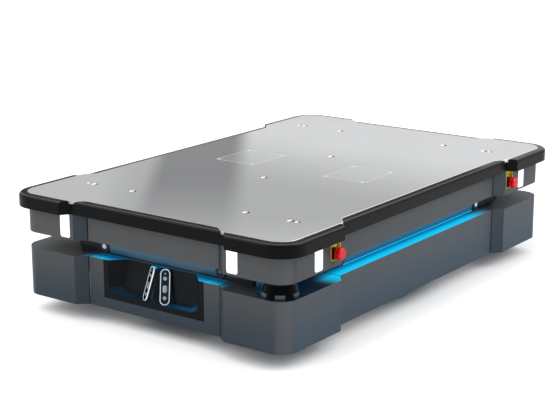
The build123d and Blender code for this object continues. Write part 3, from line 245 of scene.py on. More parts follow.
def along(tree, x, y, way):
    """How far a place or a normal reaches along a level direction."""
    return calculated(tree, "ADD", product(tree, x, way[0]), product(tree, y, way[1]))


def ramp(tree, value, levels, results=(0.0, 1.0)):
    """Smooth ramp of a value from one level to another."""
    inputs = {"Value": value, "From Min": levels[0], "From Max": levels[1]}
    inputs.update({"To Min": results[0], "To Max": results[1]})
    made = shader_node(tree, "ShaderNodeMapRange", inputs, interpolation_type="SMOOTHSTEP")
    return made.outputs["Result"]


def mixed_colour(tree, factor, first, second):
    """Blend of two colours, made with the colour sockets of a mix node."""
    colour_a, colour_b, colour_result = 6, 7, 2
    inputs = {"Factor": factor, colour_a: first, colour_b: second}
    return shader_node(tree, "ShaderNodeMix", inputs, data_type="RGBA").outputs[colour_result]


def noise(tree, place, scale, detail):
    """Value of a noise texture."""
    inputs = {"Vector": place, "Scale": scale, "Detail": detail}
    return shader_node(tree, "ShaderNodeTexNoise", inputs).outputs[0]


def vector_result(tree, kind, first, second=(0.0, 0.0, 0.0)):
    """Result of a calculation with vectors: a value for a dot product, otherwise a vector."""
    made = shader_node(tree, "ShaderNodeVectorMath", {0: first, 1: second}, operation=kind)
    return made.outputs["Value" if kind == "DOT_PRODUCT" else "Vector"]


def object_place(tree):
    """Place on the vehicle as a vector and as its three lengths."""
    place = shader_node(tree, "ShaderNodeTexCoord").outputs["Object"]
    return place, shader_node(tree, "ShaderNodeSeparateXYZ", {0: place}).outputs


def facing_parts(tree):
    """Forward, left and upward parts of the direction in which the surface faces."""
    facing = shader_node(tree, "ShaderNodeNewGeometry").outputs["Normal"]
    return shader_node(tree, "ShaderNodeSeparateXYZ", {0: facing}).outputs


def give_glow(tree, shader, colour, strength):
    """Make a finish give off light."""
    feed(tree, shader.inputs["Emission Color"], colour)
    shader.inputs["Emission Strength"].default_value = strength


def ledge_mask(tree, height, upward):
    """Mask of the ledges that form the floor of the slot."""
    return product(
        tree, ramp(tree, upward, (0.4, 0.8)), ramp(tree, height, short_of(slot_floor, 0.002, 0.0005))
    )


# Shared effects
def node_group(name, inputs, outputs):
    """Empty node group with its named sockets."""
    tree = bpy.data.node_groups.new(name, "ShaderNodeTree")
    for label, default in inputs.items():
        socket = tree.interface.new_socket(label, in_out="INPUT", socket_type="NodeSocketFloat")
        socket.default_value = default
    for label in outputs:
        kind = "NodeSocketVector" if label == "Normal" else "NodeSocketFloat"
        tree.interface.new_socket(label, in_out="OUTPUT", socket_type=kind)
    given, result = tree.nodes.new("NodeGroupInput"), tree.nodes.new("NodeGroupOutput")
    return tree, given.outputs, result.inputs


def grain_group():
    """Fine moulded or rolled grain, and slow tonal clouds over the whole piece."""
    tree, given, result = node_group(
        "surface_grain", {"Scale": 600.0, "Stretch": 1.0, "Cloud Scale": 4.0}, ("Grain", "Clouds")
    )
    place, _ = object_place(tree)
    stretch = {"X": 1.0, "Y": given["Stretch"], "Z": given["Stretch"]}
    stretch = shader_node(tree, "ShaderNodeCombineXYZ", stretch).outputs[0]
    drawn = vector_result(tree, "MULTIPLY", place, stretch)
    feed(tree, result["Grain"], noise(tree, drawn, given["Scale"], detail=4.0))
    feed(tree, result["Clouds"], noise(tree, place, given["Cloud Scale"], detail=3.0))


def edge_group():
    """Softened edges: a rounded normal, and a mask that breaks up along them, for edges rubbed by
    handling and for a painted edge sheen.
    """
    tree, given, result = node_group("soft_edges", {"Radius": 0.0012}, ("Wear And Sheen", "Normal"))
    rounded = shader_node(tree, "ShaderNodeBevel", {"Radius": given["Radius"]}, samples=4).outputs[0]
    flat = shader_node(tree, "ShaderNodeNewGeometry").outputs["Normal"]
    edge = ramp(tree, vector_result(tree, "DOT_PRODUCT", rounded, flat), (0.995, 0.86))
    place, _ = object_place(tree)
    patches = ramp(tree, noise(tree, place, 45.0, detail=5.0), (0.35, 0.65), (0.25, 1.0))
    feed(tree, result["Wear And Sheen"], product(tree, edge, patches))
    feed(tree, result["Normal"], rounded)


def dust_group():
    """Thin dust that lies on faces which look up."""
    tree, given, result = node_group("settled_dust", {"Amount": 0.1}, ("Dust",))
    _, _, upward = facing_parts(tree)
    place, _ = object_place(tree)
    flecks = ramp(tree, noise(tree, place, 22.0, detail=6.0), (0.3, 0.75))
    feed(tree, result["Dust"], product(tree, ramp(tree, upward, (0.5, 1.0)), flecks, given["Amount"]))


def slot_glow_group():
    """Light of the bars where it falls in the slot: near on the ledges, bright at their outer edge."""
    tree, _, result = node_group("slot_glow", {}, ("Near", "Edge", "Side"))
    front_fade, rear_fade, end_fade = (0.475, 0.385), (-0.4, -0.26), (0.24, 0.17)
    before_bar, side_rim, end_rim = (0.02, 0.006), (0.06, 0.034), (0.054, 0.018)
    _, (x, y, z) = object_place(tree)
    length, width = size_of(tree, x), size_of(tree, y)
    _, _, upward = facing_parts(tree)
    ledge = ledge_mask(tree, z, upward)
    side_run = product(tree, ramp(tree, x, front_fade), ramp(tree, x, rear_fade))
    end_run = ramp(tree, width, end_fade)
    side_near = ramp(tree, width, short_of(bar_face.y, *before_bar))
    side_near = product(tree, side_run, side_near)
    end_near = ramp(tree, length, short_of(bar_face.x, *before_bar))
    end_near = product(tree, end_run, end_near)
    side_edge = ramp(tree, width, short_of(cover_reach.y, *side_rim))
    side_edge = product(tree, side_run, side_edge)
    end_edge = ramp(tree, length, short_of(cover_reach.x, *end_rim))
    end_edge = product(tree, end_run, end_edge)
    near = calculated(tree, "MAXIMUM", side_near, end_near)
    edge = calculated(tree, "MAXIMUM", side_edge, end_edge)
    feed(tree, result["Near"], product(tree, near, ledge))
    feed(tree, result["Side"], side_near)
    feed(tree, result["Edge"], product(tree, edge, ledge))


def painted_deck_reflection_group():
    """Painted reflection and shade on the deck: darker towards the front, and in a band across it."""
    tree, _, result = node_group("painted_deck_reflection", {}, ("Front", "Band"))
    band_right, band_left, band_fade = (-0.43, -0.37), (-0.13, -0.2), (-0.75, -0.1)
    front_start, front_side, front_fade = (-0.36, 0.28), (-0.55, -0.42), (-0.95, -0.5)
    _, (x, y, _) = object_place(tree)
    across, away = along(tree, x, y, rear_left), along(tree, x, y, rear_right)
    band = product(
        tree, ramp(tree, across, band_right), ramp(tree, across, band_left),
        ramp(tree, away, band_fade, (0.25, 1.0)),
    )
    front = product(
        tree, ramp(tree, x, front_start), ramp(tree, across, front_side, (0.65, 1.0)),
        ramp(tree, away, front_fade, (0.45, 1.0)),
    )
    feed(tree, result["Front"], front)
    feed(tree, result["Band"], band)


def group_outputs(tree, name, **inputs):
    """Outputs of a shared effect placed in a material."""
    made = tree.nodes.new("ShaderNodeGroup")
    made.node_tree = bpy.data.node_groups[name]
    for label, value in inputs.items():
        made.inputs[label.replace("_", " ").title()].default_value = value
    return made.outputs


def surface(name, colour, roughness, metallic=0.0, grain=600.0, stretch=1.0, depth=0.05, tone=0.06,
            wear_and_sheen=0.25, worn_and_sheen=None, dust=0.04, radius=0.0012, coat=0.0, spread=0.08):
    """Material with grain, slow tone, edges rubbed by handling and dust; near-white rubbed edges stand
    for a painted edge sheen. Returns it, its shader and its colour.
    """
    grain_height, worn_gain, worn_lift = 0.0004, 1.6, 0.02
    dust_colour, dust_roughness = linear(150, 148, 144), 0.5
    material = bpy.data.materials.new(name)
    material.use_nodes = True
    tree = material.node_tree
    shader = tree.nodes["Principled BSDF"]
    shader.inputs["Metallic"].default_value = metallic
    shader.inputs["Coat Weight"].default_value = coat
    grains = group_outputs(tree, "surface_grain", scale=grain, stretch=stretch)
    edges = group_outputs(tree, "soft_edges", radius=radius)
    dusted = group_outputs(tree, "settled_dust", amount=dust)["Dust"]
    lighter = tuple(min(1.0, value * (1 + tone)) for value in colour)
    darker = scaled(colour, 1 - tone)
    paint = mixed_colour(tree, ramp(tree, grains["Clouds"], noise_range), darker, lighter)
    # Rubbed edges; where their colour is near white they stand for a painted edge sheen
    worn_and_sheen = worn_and_sheen or tuple(min(1.0, value * worn_gain + worn_lift) for value in colour)
    paint = mixed_colour(tree, product(tree, edges["Wear And Sheen"], wear_and_sheen), paint, worn_and_sheen)
    paint = mixed_colour(tree, dusted, paint, dust_colour)
    feed(tree, shader.inputs["Base Color"], paint)
    rough = (roughness - spread / 2, roughness + spread / 2)
    rough = ramp(tree, grains["Grain"], noise_range, rough)
    rough = calculated(tree, "ADD", rough, product(tree, dusted, dust_roughness))
    feed(tree, shader.inputs["Roughness"], rough)
    inputs = {"Height": grains["Grain"], "Strength": depth, "Distance": grain_height}
    inputs["Normal"] = edges["Normal"]
    feed(tree, shader.inputs["Normal"], shader_node(tree, "ShaderNodeBump", inputs).outputs[0])
    return material, shader, paint


def with_painted_deck_reflection(tree, paint, middle, shade):
    """Paint with the deck's painted reflection and shade in it."""
    tones = group_outputs(tree, "painted_deck_reflection")
    return mixed_colour(tree, tones["Band"], mixed_colour(tree, tones["Front"], paint, middle), shade)


def lit_by_slot(tree, shader):
    """Add the light of the bars to the covers' ledges."""
    glow = group_outputs(tree, "slot_glow")
    deep = mixed_colour(tree, glow["Side"], colours().glow_end, colours().glow_side)
    near = mixed_colour(tree, glow["Near"], dark, deep)
    paint = shader.inputs["Base Color"].links[0].from_socket
    lit = calculated(tree, "MAXIMUM", glow["Near"], glow["Edge"])
    feed(tree, shader.inputs["Base Color"], mixed_colour(tree, lit, paint, linear(8, 24, 34)))
    give_glow(tree, shader, mixed_colour(tree, glow["Edge"], near, colours().glow), strength=1.0)


# Finishes, one for each real material
def deck_metal():
    """Satin rolled plate with painted reflection and shade, darker towards its front and in a band across
    it, and painted highlights on its cut edges.
    """
    material, shader, paint = surface(
        "deck_metal", colours().deck, 0.36, metallic=0.75, grain=900, stretch=6, depth=0.03, tone=0.015,
        wear_and_sheen=0.5, worn_and_sheen=linear(250, 250, 250), dust=0.02, radius=0.0008,
    )
    tree = material.node_tree
    hole_length, hole_width = (0.6, 0.58), (0.385, 0.375)
    cut_top, cut_foot, away = (0.00005, 0.0002), (0.0024, 0.0021), (0.12, 0.22)
    cone_painted_highlight, cone_painted_shade, rim = linear(255, 255, 255), linear(60, 61, 63), linear(200, 201, 203)
    _, (x, y, z) = object_place(tree)
    forward, leftward, _ = facing_parts(tree)
    turned = ramp(tree, along(tree, forward, leftward, front_right), away)
    holes = product(
        tree, ramp(tree, size_of(tree, x), hole_length), ramp(tree, size_of(tree, y), hole_width)
    )
    cut = product(
        tree, ramp(tree, z, short_of(deck_top, *cut_top)), ramp(tree, z, short_of(deck_top, *cut_foot))
    )
    # Painted highlights on the cut edges: light along the outer rim, and on the countersink cones light
    # where they turn one way and shaded where they turn the other
    cut_highlight_colour = mixed_colour(tree, holes, rim, mixed_colour(tree, turned, cone_painted_highlight, cone_painted_shade))
    # Painted reflection and shade of the deck over its paint
    tone = with_painted_deck_reflection(tree, paint, colours().deck_front_shade, colours().deck_shade)
    feed(tree, shader.inputs["Base Color"], mixed_colour(tree, cut, tone, cut_highlight_colour))
    # Painted glints: the cut edges glow where they catch the light
    rim_glint = mixed_colour(tree, ramp(tree, leftward, (0.3, 0.7)), dark, bright)
    cut_glint = mixed_colour(tree, holes, rim_glint, mixed_colour(tree, turned, bright, dark))
    give_glow(tree, shader, mixed_colour(tree, cut, dark, cut_glint), strength=0.35)
    return material


def hatch_metal():
    """Satin lid with the deck's painted reflection and shade, a little lighter than on the deck round it,
    with white rubbed edges as painted sheen and a fine bright outline of painted highlight.
    """
    material, shader, paint = surface(
        "hatch_metal", colours().deck, 0.4, metallic=0.7, grain=900, stretch=6, depth=0.03, tone=0.02,
        wear_and_sheen=0.9, worn_and_sheen=linear(255, 255, 255), radius=0.0012,
    )
    tree = material.node_tree
    outline, inner, mid_share, shade_share = 0.0014, 0.0026, 1.12, 1.35
    # Painted reflection and shade of the deck, made lighter on the lid
    mid, shade = scaled(colours().deck_front_shade, mid_share), scaled(colours().deck_shade, shade_share)
    tone = with_painted_deck_reflection(tree, paint, mid, shade)
    _, (x, y, _) = object_place(tree)
    low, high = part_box("hatch_covers")
    widths = [abs(vert.co.y) for vert in nodes["hatch_covers"].data.vertices]
    # Painted highlight: a fine white outline round the lid's edges
    for value, start, end in ((x, low.x, high.x), (size_of(tree, y), min(widths), max(widths))):
        for levels in ((start + inner, start + outline), (end - inner, end - outline)):
            tone = mixed_colour(tree, ramp(tree, value, levels), tone, linear(255, 255, 255))
    feed(tree, shader.inputs["Base Color"], tone)
    return material


def screw_steel():
    """Bright steel of the countersunk screws, with a painted white glow as their highlight."""
    material, shader, _ = surface(
        "screw_steel", linear(252, 252, 253), 0.3, metallic=0.2, grain=1500, depth=0.05, wear_and_sheen=0.6,
        worn_and_sheen=linear(255, 255, 255), radius=0.0004,
    )
    # Painted highlight: the screws glow white
    give_glow(material.node_tree, shader, bright, strength=0.35)
    return material


def bumper_rubber():
    """Black satin rubber with a painted paler sheen on its shoulder, and glossier on its top towards the
    rear right.
    """
    roughness = 0.32
    material, shader, paint = surface(
        "bumper_rubber", colours().bumper, roughness, grain=1400, depth=0.1, tone=0.1, wear_and_sheen=0.1,
        radius=0.0016,
    )
    shader.inputs["Specular IOR Level"].default_value = 0.15
    tree = material.node_tree
    _, _, upward = facing_parts(tree)
    _, (x, y, _) = object_place(tree)
    # Painted sheen: the shoulder is painted paler
    shoulder = product(tree, ramp(tree, upward, (0.6, 0.8)), ramp(tree, upward, (0.985, 0.93)))
    feed(tree, shader.inputs["Base Color"], mixed_colour(tree, shoulder, paint, linear(78, 80, 82)))
    top_rough = ramp(tree, along(tree, x, y, front_left), (-0.1, 0.1), (0.1, 0.6))
    change = calculated(tree, "SUBTRACT", top_rough, roughness)
    change = product(tree, ramp(tree, upward, (0.93, 0.99)), change)
    feed(tree, shader.inputs["Roughness"], calculated(tree, "ADD", roughness, change))
    return material


def cover_plastic():
    """Moulded grey covers with painted light and shade: a cool painted shade towards their foot and on
    their step facets, a paler painted highlight round their corners, walls lighter or darker by the way
    they face, and lit on their ledges.
    """
    material, shader, paint = surface(
        "cover_grey", colours().cover, 0.46, grain=1100, depth=0.08, tone=0.04, wear_and_sheen=0.2, radius=0.0012,
        dust=0.03,
    )
    tree = material.node_tree
    foot_levels, corner_length, corner_width = (0.19, 0.05), (0.57, 0.6), (0.345, 0.375)
    _, (x, y, z) = object_place(tree)
    forward, leftward, upward = facing_parts(tree)
    endways, sideways, width = size_of(tree, forward), size_of(tree, leftward), size_of(tree, y)
    foot = ramp(tree, z, foot_levels)
    turned = product(tree, endways, sideways)
    corner = product(tree, ramp(tree, size_of(tree, x), corner_length), ramp(tree, width, corner_width))
    # Painted highlight round the rounded corners
    rounded = product(tree, ramp(tree, turned, (0.12, 0.5), (0.0, 0.62)), corner)
    # Painted cool shade on the facets of the steps, away from the corners
    step = calculated(tree, "SUBTRACT", 1.0, corner)
    step = product(tree, ramp(tree, turned, (0.15, 0.3), (0.0, 0.75)), step)
    # Painted cool shade towards the foot, then the corner highlight and the step shade
    tone = mixed_colour(tree, foot, paint, colours().cover_cool_shade)
    tone = mixed_colour(tree, rounded, tone, linear(101, 102, 103))
    tone = mixed_colour(tree, step, tone, colours().cover_cool_shade)
    # Painted light and shade on the walls that face straight along or across the vehicle, under and over
    # the slot
    over = ramp(tree, z, (slot_floor, slot_roof))
    side_painted_light = mixed_colour(tree, foot, (0.82, 0.95, 1.05), (1.13, 1.33, 1.41))
    side_painted_light = mixed_colour(tree, over, side_painted_light, (0.78, 0.82, 0.85))
    end_painted_light = mixed_colour(tree, over, bright, (1.17, 1.14, 1.11))
    straight = (0.9, 0.99)
    facing_painted_light = mixed_colour(tree, ramp(tree, endways, straight), bright, end_painted_light)
    facing_painted_light = mixed_colour(tree, ramp(tree, sideways, straight), facing_painted_light, side_painted_light)
    feed(tree, shader.inputs["Base Color"], vector_result(tree, "MULTIPLY", tone, facing_painted_light))
    lit_by_slot(tree, shader)
    # Shade of the front scanner on the ledge under it
    scanner_length, scanner_width, scanner_corner = (0.44, 0.5), (0.3, 0.38), (0.08, 0.16)
    shadow = product(
        tree, ledge_mask(tree, z, upward), ramp(tree, product(tree, x, y), scanner_corner),
        ramp(tree, width, scanner_width), ramp(tree, x, scanner_length),
    )
    for name, shade in (("Base Color", linear(14, 24, 32)), ("Emission Color", linear(8, 27, 40))):
        socket = shader.inputs[name]
        feed(tree, socket, mixed_colour(tree, shadow, socket.links[0].from_socket, shade))
    return material


def light_diffuser():
    """Frosted light bars, lit from inside, darker towards their foot and greyer at the ends."""
    material, shader, paint = surface(
        "light_diffuser", colours().side_bar, 0.3, depth=0.02, wear_and_sheen=0.1, tone=0.03
    )
    tree = material.node_tree
    end_bars = (0.575, 0.58)
    _, (x, _, z) = object_place(tree)
    end = ramp(tree, size_of(tree, x), end_bars)
    feed(tree, shader.inputs["Base Color"], mixed_colour(tree, end, paint, linear(50, 55, 59)))
    lit = mixed_colour(tree, end, colours().side_bar, colours().end_bar)
    height = ramp(tree, z, (bar_low, bar_face.z))
    lit = mixed_colour(tree, height, scaled(colours().end_bar, 0.4), lit)
    give_glow(tree, shader, lit, strength=0.8)
    return material


def foot_strip_light():
    """Bright strip at the foot of the light bars."""
    material, shader, _ = surface("foot_strip_light", colours().glow, 0.4, wear_and_sheen=0.0, depth=0.0)
    give_glow(material.node_tree, shader, colours().glow, strength=0.9)
    return material


def core_black():
    """Powder coated walls behind the slot, with bare metal at the cut corners."""
    material, shader, paint = surface(
        "core_black", linear(30, 33, 37), 0.5, grain=1300, depth=0.2, wear_and_sheen=0.3
    )
    tree = material.node_tree
    bare_length, bare_width = (0.49, 0.5), (0.284, 0.288)
    _, (x, y, _) = object_place(tree)
    bare = product(
        tree, ramp(tree, size_of(tree, y), bare_width), ramp(tree, size_of(tree, x), bare_length)
    )
    feed(tree, shader.inputs["Base Color"], mixed_colour(tree, bare, paint, linear(176, 180, 184)))
    return material


def black_plastic(name, shine, colour=(26, 27, 29)):
    """Black moulded plastic."""
    return surface(name, linear(*colour), shine, grain=1300, depth=0.08, wear_and_sheen=0.25, radius=0.0006)[0]


def gloss_black(name, shine):
    """Polished black window. Returns the material and its shader."""
    return surface(
        name, linear(6, 6, 8), shine, grain=300, depth=0.0, tone=0.05, wear_and_sheen=0.05, dust=0.0,
        radius=0.0005, spread=0.02,
    )[:2]


def scanner_glass():
    """Dark scanner window, lit by the slot's light where it faces along the slot, with faint painted
    glints on the facets round its foot.
    """
    material, shader = gloss_black("scanner_window", 0.05)
    shader.inputs["Specular IOR Level"].default_value = 0.08
    tree = material.node_tree
    forward, leftward, _ = facing_parts(tree)
    _, (x, y, z) = object_place(tree)
    end = calculated(tree, "SIGN", x)
    rearward = ramp(tree, product(tree, forward, end), (-0.42, -0.75))
    inward = ramp(tree, product(tree, leftward, end), (-0.62, -0.9))
    lit = calculated(tree, "MAXIMUM", rearward, inward)
    # Painted glints on the facets round the window's foot
    facet_count, facet_start, foot_top, foot_rise = 6.0, radians(36), (0.012, 0.009), (0.001, 0.007)
    low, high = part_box("scanner_mirror_front")
    middle = (low + high) / 2
    from_x = calculated(tree, "SUBTRACT", size_of(tree, x), abs(middle.x))
    from_y = calculated(tree, "SUBTRACT", size_of(tree, y), abs(middle.y))
    turn = calculated(tree, "SUBTRACT", calculated(tree, "ARCTAN2", from_y, from_x), facet_start)
    facets = calculated(tree, "COSINE", product(tree, turn, facet_count))
    foot = product(
        tree, ramp(tree, z, [slot_floor + height for height in foot_top]),
        ramp(tree, z, [slot_floor + height for height in foot_rise], (0.2, 1.0)),
        ramp(tree, facets, (-0.3, 0.3), (0.0, 0.24)),
    )
    glint = mixed_colour(tree, foot, dark, linear(150, 156, 162))
    give_glow(tree, shader, mixed_colour(tree, lit, glint, linear(0, 110, 160)), strength=1.0)
    return material


def sensor_lens():
    """Pale domed lens with a painted glow, and painted shade that makes it dark round its flanks and all
    dark at the front left corner.
    """
    material, shader, paint = surface(
        "sensor_lens", linear(226, 234, 242), 0.08, grain=200, depth=0.0, wear_and_sheen=0.0, coat=1.0, dust=0.0
    )
    tree = material.node_tree
    _, (x, y, _) = object_place(tree)
    corner = ramp(tree, along(tree, x, y, front_left), (0.34, 0.42))
    forward, leftward, _ = facing_parts(tree)
    straight = calculated(tree, "MAXIMUM", size_of(tree, forward), size_of(tree, leftward))
    shaded = calculated(tree, "MAXIMUM", corner, ramp(tree, straight, (0.86, 0.72)))
    # Painted shade: the lens is dark round its flanks and at the front left corner
    feed(tree, shader.inputs["Base Color"], mixed_colour(tree, shaded, paint, linear(30, 36, 42)))
    # Painted highlight: the lens glows pale where it is not shaded
    give_glow(tree, shader, mixed_colour(tree, shaded, linear(190, 205, 215), dark), strength=0.5)
    return material


def signal_lens():
    """Frosted white lens, lit from inside."""
    material, shader, _ = surface(
        "signal_white", linear(250, 251, 252), 0.2, grain=500, depth=0.02, tone=0.01, wear_and_sheen=0.0, coat=0.6,
        dust=0.0,
    )
    give_glow(material.node_tree, shader, colours().signal, strength=0.75)
    return material


def recess_plastic():
    """Near-black moulding of the camera recess, with blue light on its floors and top edges."""
    material, shader, _ = surface(
        "recess_black", colours().recess, 0.42, grain=1200, depth=0.1, tone=0.05, wear_and_sheen=0.2, radius=0.001
    )
    shader.inputs["Specular IOR Level"].default_value = 0.2
    tree = material.node_tree
    floor_levels, nose_width, right_fade = (0.132, 0.094), (0.02, 0.12), (-0.06, 0.04)
    _, (_, y, z) = object_place(tree)
    _, _, upward = facing_parts(tree)
    outward = ramp(tree, size_of(tree, y), nose_width)
    floor = product(
        tree, ramp(tree, upward, (0.15, 0.9)), ramp(tree, z, floor_levels),
        ramp(tree, outward, (0.0, 1.0), (0.35, 1.0)), ramp(tree, y, right_fade, (0.3, 0.9)),
    )
    glow = group_outputs(tree, "slot_glow")
    near = mixed_colour(tree, floor, dark, linear(0, 68, 96))
    near = mixed_colour(tree, glow["Near"], near, colours().glow_end)
    give_glow(tree, shader, mixed_colour(tree, glow["Edge"], near, linear(0, 175, 235)), strength=1.0)
    return material


def camera_alloy():
    """Anodised case of the depth cameras with painted light and shade: a bright front rim with a painted
    highlight, dark flanks in painted shade, a painted white highlight at the front of the outer flank,
    and blue light from above.
    """
    material, shader, paint = surface(
        "camera_metal", linear(236, 239, 242), 0.3, metallic=0.35, grain=900, depth=0.03, wear_and_sheen=0.5,
        radius=0.0006,
    )
    tree = material.node_tree
    way = direction(trim().camera_yaw, trim().camera_tilt)
    place, (_, y, _) = object_place(tree)
    forward, leftward, upward = facing_parts(tree)
    outward = product(tree, leftward, calculated(tree, "SIGN", y))
    ahead, aside = product(tree, forward, way.x), product(tree, outward, way.y)
    beside = calculated(tree, "ADD", aside, product(tree, upward, way.z))
    rim = ramp(tree, calculated(tree, "ADD", ahead, beside), (0.5, 0.8))
    front = max(way.dot(vert.co) for vert in nodes["depth_cameras"].data.vertices)
    depth = vector_result(tree, "DOT_PRODUCT", vector_result(tree, "ABSOLUTE", place), way)
    rim_depth = (0.0034, 0.0024)
    band = ramp(tree, depth, short_of(front, *rim_depth))
    rim = calculated(tree, "MAXIMUM", rim, band)
    # Painted shade: away from the front rim the case is painted dark
    feed(tree, shader.inputs["Base Color"], mixed_colour(tree, rim, linear(58, 64, 70), paint))
    # Painted white highlight at the front of the outer flank
    flank = product(tree, outward, ramp(tree, aside, (0.1, -0.3)))
    flank = product(tree, size_of(tree, flank), band)
    # Painted highlight on the rim, then on the flank, then the blue light from above
    lit = mixed_colour(tree, rim, dark, linear(96, 128, 142))
    lit = mixed_colour(tree, flank, lit, linear(200, 206, 210))
    lit = mixed_colour(tree, ramp(tree, upward, (0.5, 0.95)), lit, linear(40, 190, 232))
    give_glow(tree, shader, lit, strength=1.0)
    return material


def camera_lens_glass():
    """Pale lens elements behind the camera window."""
    return surface(
        "camera_lens", linear(186, 192, 198), 0.15, grain=400, depth=0.0, wear_and_sheen=0.0, coat=1.0
    )[0]


def zinc_steel(name, tone):
    """Zinc plated steel with its cloudy bloom."""
    return surface(
        name, linear(*tone), 0.34, metallic=1.0, grain=500, depth=0.06, tone=0.12, wear_and_sheen=0.3,
        radius=0.0008, spread=0.2,
    )[0]


def alloy(name, tone, shine=0.38):
    """Machined or cast aluminium."""
    return surface(
        name, linear(*tone), shine, metallic=0.9, grain=800, stretch=3, depth=0.08, tone=0.06, wear_and_sheen=0.35
    )[0]


def powder_coat():
    """Black powder coat of the frame with its orange peel."""
    return surface("frame_black", linear(34, 36, 39), 0.45, grain=350, depth=0.25, tone=0.08, wear_and_sheen=0.3)[0]


def coloured_plastic(name, colour, shine=0.3):
    """Glossy coloured moulding."""
    return surface(
        name, colour, shine, grain=900, depth=0.03, tone=0.03, wear_and_sheen=0.15, dust=0.0, radius=0.0007
    )[0]


def tyre_rubber(name, colour):
    """Polyurethane tread with a little floor dust in it."""
    return surface(name, colour, 0.5, grain=700, depth=0.2, tone=0.1, wear_and_sheen=0.3, dust=0.12)[0]


def finish(material, *names):
    """Give CAD nodes one finish."""
    for name in names:
        mesh = nodes[name].data
        mesh.materials.clear()
        mesh.materials.append(material)


# Mesh building
def piece_from(name, mesh, material):
    """Finished piece from a bmesh, riding on the chassis."""
    merge_distance, sharp_angle = 0.00001, radians(35)
    bmesh.ops.remove_doubles(mesh, verts=mesh.verts, dist=merge_distance)
    bmesh.ops.recalc_face_normals(mesh, faces=mesh.faces)
    data = bpy.data.meshes.new(name)
    mesh.to_mesh(data)
    mesh.free()
    data.materials.append(material)
    data.shade_smooth()
    data.set_sharp_from_angle(angle=sharp_angle)
    piece = bpy.data.objects.new(name, data)
    bpy.context.scene.collection.objects.link(piece)
    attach(piece, "chassis")


def edges_of(verts):
    """Edges that meet at some vertices, each once."""
    return list({edge for vert in verts for edge in vert.link_edges})


def add_slab(mesh, low, high, bevel):
    """Add a box with bevelled edges between two corners."""
    low, high = Vector(low), Vector(high)
    made = bmesh.ops.create_cube(mesh, size=1.0)["verts"]
    bmesh.ops.scale(mesh, verts=made, vec=high - low)
    bmesh.ops.translate(mesh, verts=made, vec=(low + high) / 2)
    bmesh.ops.bevel(
        mesh, geom=edges_of(made), offset=bevel, offset_type="OFFSET", segments=2, profile=0.5,
        affect="EDGES", material=-1,
    )


def add_disc(mesh, centre, turn, radius, thickness, stretch, taper=0.8, segments=24):
    """Add a thin tapered disc, or an oval made longer by the stretch, on a plane."""
    made = bmesh.ops.create_cone(
        mesh, cap_ends=True, segments=segments, radius1=radius, radius2=radius * taper, depth=thickness
    )["verts"]
    for vert in made:
        vert.co.y += stretch / 2 if vert.co.y > 0 else -stretch / 2
    bmesh.ops.transform(mesh, verts=made, matrix=Matrix.Translation(centre) @ turn)


def add_ring(mesh, centre, axis, radius, rib, turns=32, rib_sides=8):
    """Add a round ring about an axis."""
    axis = Vector(axis)
    across = axis.orthogonal().normalized()
    made = bmesh.ops.create_circle(mesh, segments=rib_sides, radius=rib)["verts"]
    tilt = Matrix((across, axis.normalized(), across.cross(axis).normalized())).transposed().to_4x4()
    place = Matrix.Translation(Vector(centre) + across * radius)
    bmesh.ops.transform(mesh, verts=made, matrix=place @ tilt)
    bmesh.ops.spin(
        mesh, geom=made + edges_of(made), cent=centre, axis=axis, angle=radians(360), steps=turns,
        use_merge=True,
    )


# Operators
class VehicleOperator(bpy.types.Operator):
    """Common settings of the vehicle's operators."""

    bl_options = {"REGISTER", "UNDO"}


class VEHICLE_OT_effects(VehicleOperator):
    """Make the shared shader effects"""

    bl_idname = "vehicle.effects"
    bl_label = "Shared effects"

    def execute(self, context):
        for build in (grain_group, edge_group, dust_group, painted_deck_reflection_group, slot_glow_group):
            build()
        return {"FINISHED"}


class VEHICLE_OT_deck(VehicleOperator):
    """Finish the load deck, its hatches and their screws"""

    bl_idname = "vehicle.deck"
    bl_label = "Deck"

    def execute(self, context):
        finish(deck_metal(), "top_plate")
        finish(hatch_metal(), "hatch_covers")
        finish(screw_steel(), "hatch_screws")
        return {"FINISHED"}


class VEHICLE_OT_body(VehicleOperator):
    """Finish the bumpers and the covers"""

    bl_idname = "vehicle.body"
    bl_label = "Bumpers and covers"

    def execute(self, context):
        finish(bumper_rubber(), "corner_bumpers", "straight_bumpers")
        finish(
            cover_plastic(), "upper_corner_covers", "upper_panels", "lower_corner_covers",
            "lower_side_panels", "lower_front_panel", "lower_rear_panel",
        )
        return {"FINISHED"}


class VEHICLE_OT_slot(VehicleOperator):
    """Finish the light bars, sensors and signal lights, and model the strips at the foot of the bars"""

    bl_idname = "vehicle.slot"
    bl_label = "Light slot"

    def execute(self, context):
        finish(light_diffuser(), "light_bars")
        finish(core_black(), "core_walls")
        finish(black_plastic("sensor_black", 0.3), "proximity_sensors")
        finish(sensor_lens(), "proximity_lenses")
        finish(signal_lens(), "signal_lights")
        sizes = trim()
        bar_nose = 0.003
        back, face = bar_face.y - 2 * bar_nose, bar_face.y - bar_nose + sizes.foot_depth
        half, foot = sizes.foot_length / 2, bar_low - sizes.foot_height
        mesh = bmesh.new()
        for side in sides.values():
            near, far = sorted((side * back, side * face))
            add_slab(mesh, (-half, near, foot), (half, far, bar_low), sizes.foot_height / 4)
        piece_from("light_bar_foot_strips", mesh, foot_strip_light())
        return {"FINISHED"}


